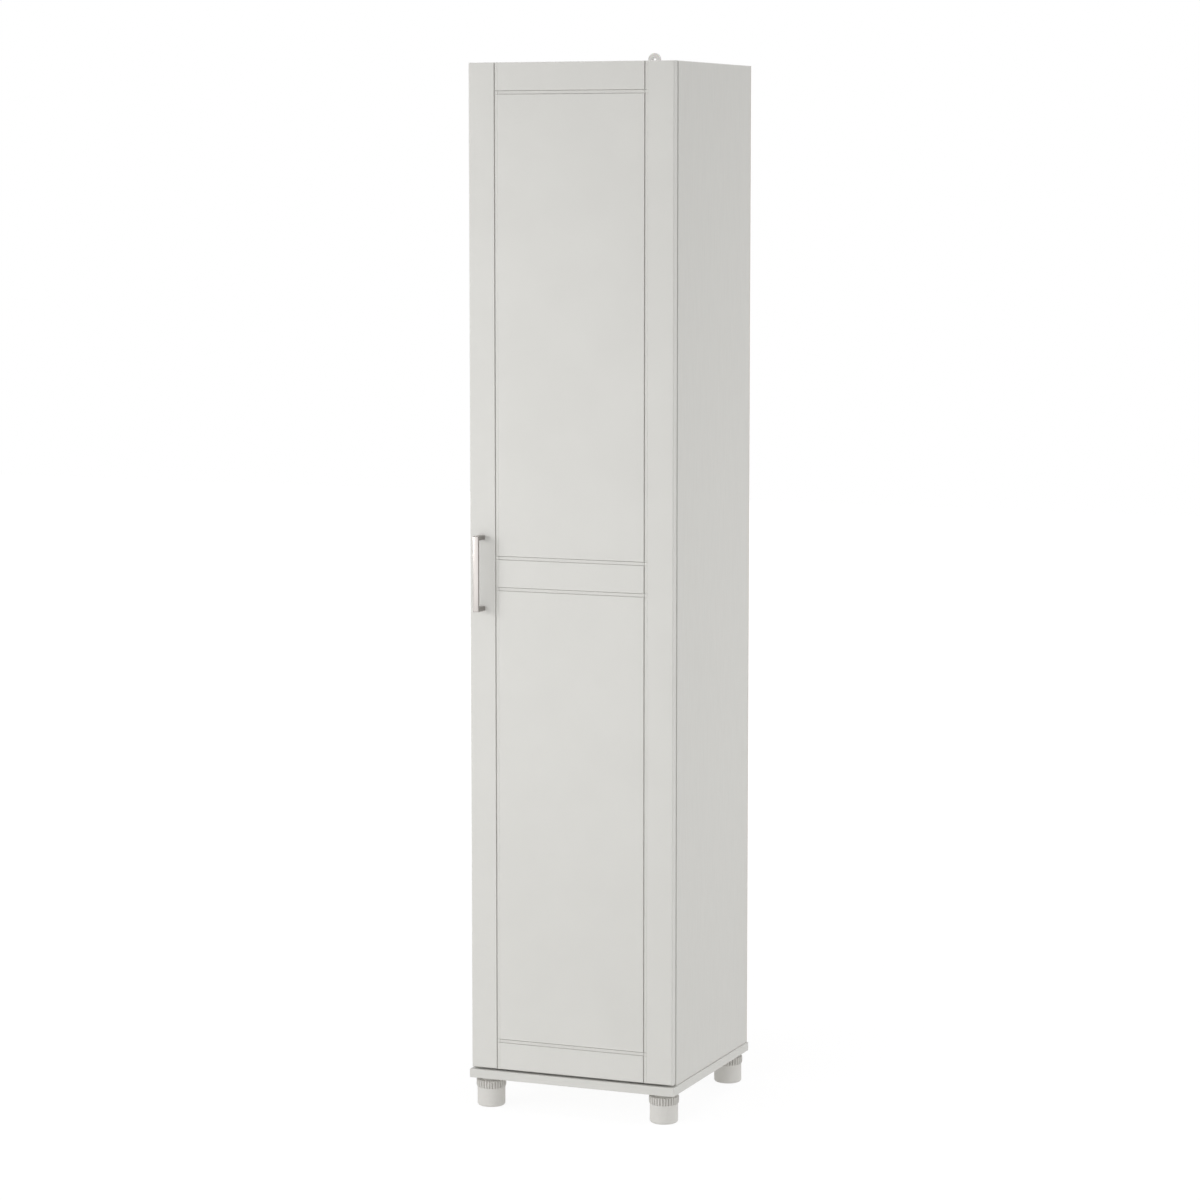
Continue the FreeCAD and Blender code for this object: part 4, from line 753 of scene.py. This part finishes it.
softBoxes = {
    # direction from the cupboard's middle (degrees from -Y towards -X), height of the centre, distance,
    # width, height, radiance, height of the point on the cupboard's axis that it faces
    "keyBox": (44, 1.46, 2.7, 0.85, 0.9, 6.5, 1.46),
    "frontBox": (12, 0.95, 2.9, 2.6, 1.4, 1.27, 0.95),
    "topBox": (0, 6.0, 0.0, 1.2, 1.2, 11.0, 0.0),
    "sideBox": (-105, 1.0, 2.8, 1.8, 1.6, 1.83, 1.0),
    "lowFrontBox": (40, 0.30, 2.2, 2.0, 0.5, 0.8, 0.30),
    "lowSideBox": (-80, 0.30, 2.4, 1.6, 0.5, 0.9, 0.30),
    "lowCornerBox": (-32, 0.28, 2.4, 1.4, 0.45, 0.3, 0.25),
}

lens = {"azimuth": 22.206, "pitch": 6.487, "place": (2.5472, -6.2806, 1.6910), "focal": 112.22,
        "sensor": 36.0, "farthest": 60}


def seenDirectly(tree):
    # 1 for the camera and for what metal and glass show, 0 for light on its way to other things
    path = addNode(tree, "ShaderNodeLightPath")
    seen = path.outputs["Is Camera Ray"]
    for ray in ("Is Glossy Ray", "Is Transmission Ray"):
        either = addNode(tree, "ShaderNodeMath", {0: seen, 1: path.outputs[ray]}, operation="MAXIMUM")
        seen = either.outputs[0]
    return seen


def floorGlow(tree, reach, glow):
    # a white shine that passes smoothly from one strength to another with the distance from the axis
    start, end, near, far = glow
    level = addNode(tree, "ShaderNodeMapRange", {"Value": reach, "From Min": start, "From Max": end,
                                                 "To Min": near, "To Max": far},
                    interpolation_type="SMOOTHSTEP")
    return addNode(tree, "ShaderNodeEmission", {"Color": white, "Strength": level.outputs["Result"]})


def makeFloor():
    # white to the camera and to mirrors, with a share left near the cupboard that takes its shadow;
    # to everything else paper, which shines faintly under the cupboard, so that the feet stay light
    half = studio["floorSide"] / 2
    corners = [(-half, -half, 0), (half, -half, 0), (half, half, 0), (-half, half, 0)]
    mesh = bpy.data.meshes.new("floor")
    mesh.from_pydata(corners, [], [(0, 1, 2, 3)])
    material = bpy.data.materials.new("floorPaper")
    material.use_nodes = True
    tree = material.node_tree
    tree.nodes.clear()
    coords = addNode(tree, "ShaderNodeTexCoord")
    length = addNode(tree, "ShaderNodeVectorMath", {0: coords.outputs["Object"]}, operation="LENGTH")
    reach = length.outputs["Value"]
    sheet = addNode(tree, "ShaderNodeBsdfDiffuse", {"Color": toLinear(studio["floorColour"])})
    under = floorGlow(tree, reach, studio["underGlow"])
    paper = addNode(tree, "ShaderNodeAddShader", {0: sheet.outputs[0], 1: under.outputs[0]})
    shine = floorGlow(tree, reach, studio["seenGlow"])
    faint = addNode(tree, "ShaderNodeBsdfDiffuse", {"Color": [studio["floorShare"]] * 3 + [1.0]})
    bright = addNode(tree, "ShaderNodeAddShader", {0: shine.outputs[0], 1: faint.outputs[0]})
    either = addNode(tree, "ShaderNodeMixShader", {0: seenDirectly(tree), 1: paper.outputs[0],
                                                   2: bright.outputs[0]})
    addNode(tree, "ShaderNodeOutputMaterial", {"Surface": either.outputs[0]})
    mesh.materials.append(material)
    floor = bpy.data.objects.new("floor", mesh)
    bpy.context.scene.collection.objects.link(floor)


def makeWorld():
    # white where it is seen; everywhere else a soft level light, a little stronger from above
    world = bpy.data.worlds.new("studio")
    world.use_nodes = True
    tree = world.node_tree
    tree.nodes.clear()
    coords = addNode(tree, "ShaderNodeTexCoord")
    place = addNode(tree, "ShaderNodeSeparateXYZ", {"Vector": coords.outputs["Generated"]})
    start, end, low, high = studio["levelLight"]
    level = addNode(tree, "ShaderNodeMapRange", {"Value": place.outputs["Z"], "From Min": start,
                                                 "From Max": end, "To Min": low, "To Max": high})
    soft = addNode(tree, "ShaderNodeBackground", {"Color": white, "Strength": level.outputs["Result"]})
    bright = addNode(tree, "ShaderNodeBackground", {"Color": white, "Strength": 1.0})
    either = addNode(tree, "ShaderNodeMixShader", {0: seenDirectly(tree), 1: soft.outputs[0],
                                                   2: bright.outputs[0]})
    addNode(tree, "ShaderNodeOutputWorld", {"Surface": either.outputs[0]})
    bpy.context.scene.world = world


def softBox(name, azimuth, height, distance, width, tall, radiance, aim):
    # a rectangle lamp that faces the cupboard's axis; its power is radiance * area * pi
    lamp = bpy.data.lights.new(name, "AREA")
    lamp.shape = "RECTANGLE"
    lamp.size = width
    lamp.size_y = tall
    lamp.energy = radiance * width * tall * math.pi
    box = bpy.data.objects.new(name, lamp)
    box.visible_camera = False
    bpy.context.scene.collection.objects.link(box)
    turn = math.radians(azimuth)
    box.location = (-distance * math.sin(turn), -distance * math.cos(turn), height)
    box.rotation_euler = (math.pi / 2 - math.atan2(height - aim, distance), 0, -turn)


def makeCamera():
    camera = bpy.data.objects.new("camera", bpy.data.cameras.new("camera"))
    camera.data.lens = lens["focal"]
    camera.data.sensor_width = lens["sensor"]
    camera.data.clip_end = lens["farthest"]
    camera.location = lens["place"]
    camera.rotation_euler = (math.radians(90 - lens["pitch"]), 0, math.radians(lens["azimuth"]))
    bpy.context.scene.collection.objects.link(camera)
    bpy.context.scene.camera = camera


makeFloor()
makeWorld()
for name, box in softBoxes.items():
    softBox(name, *box)
makeCamera()
bpy.context.scene.view_settings.view_transform = "Standard"
print("studio done")
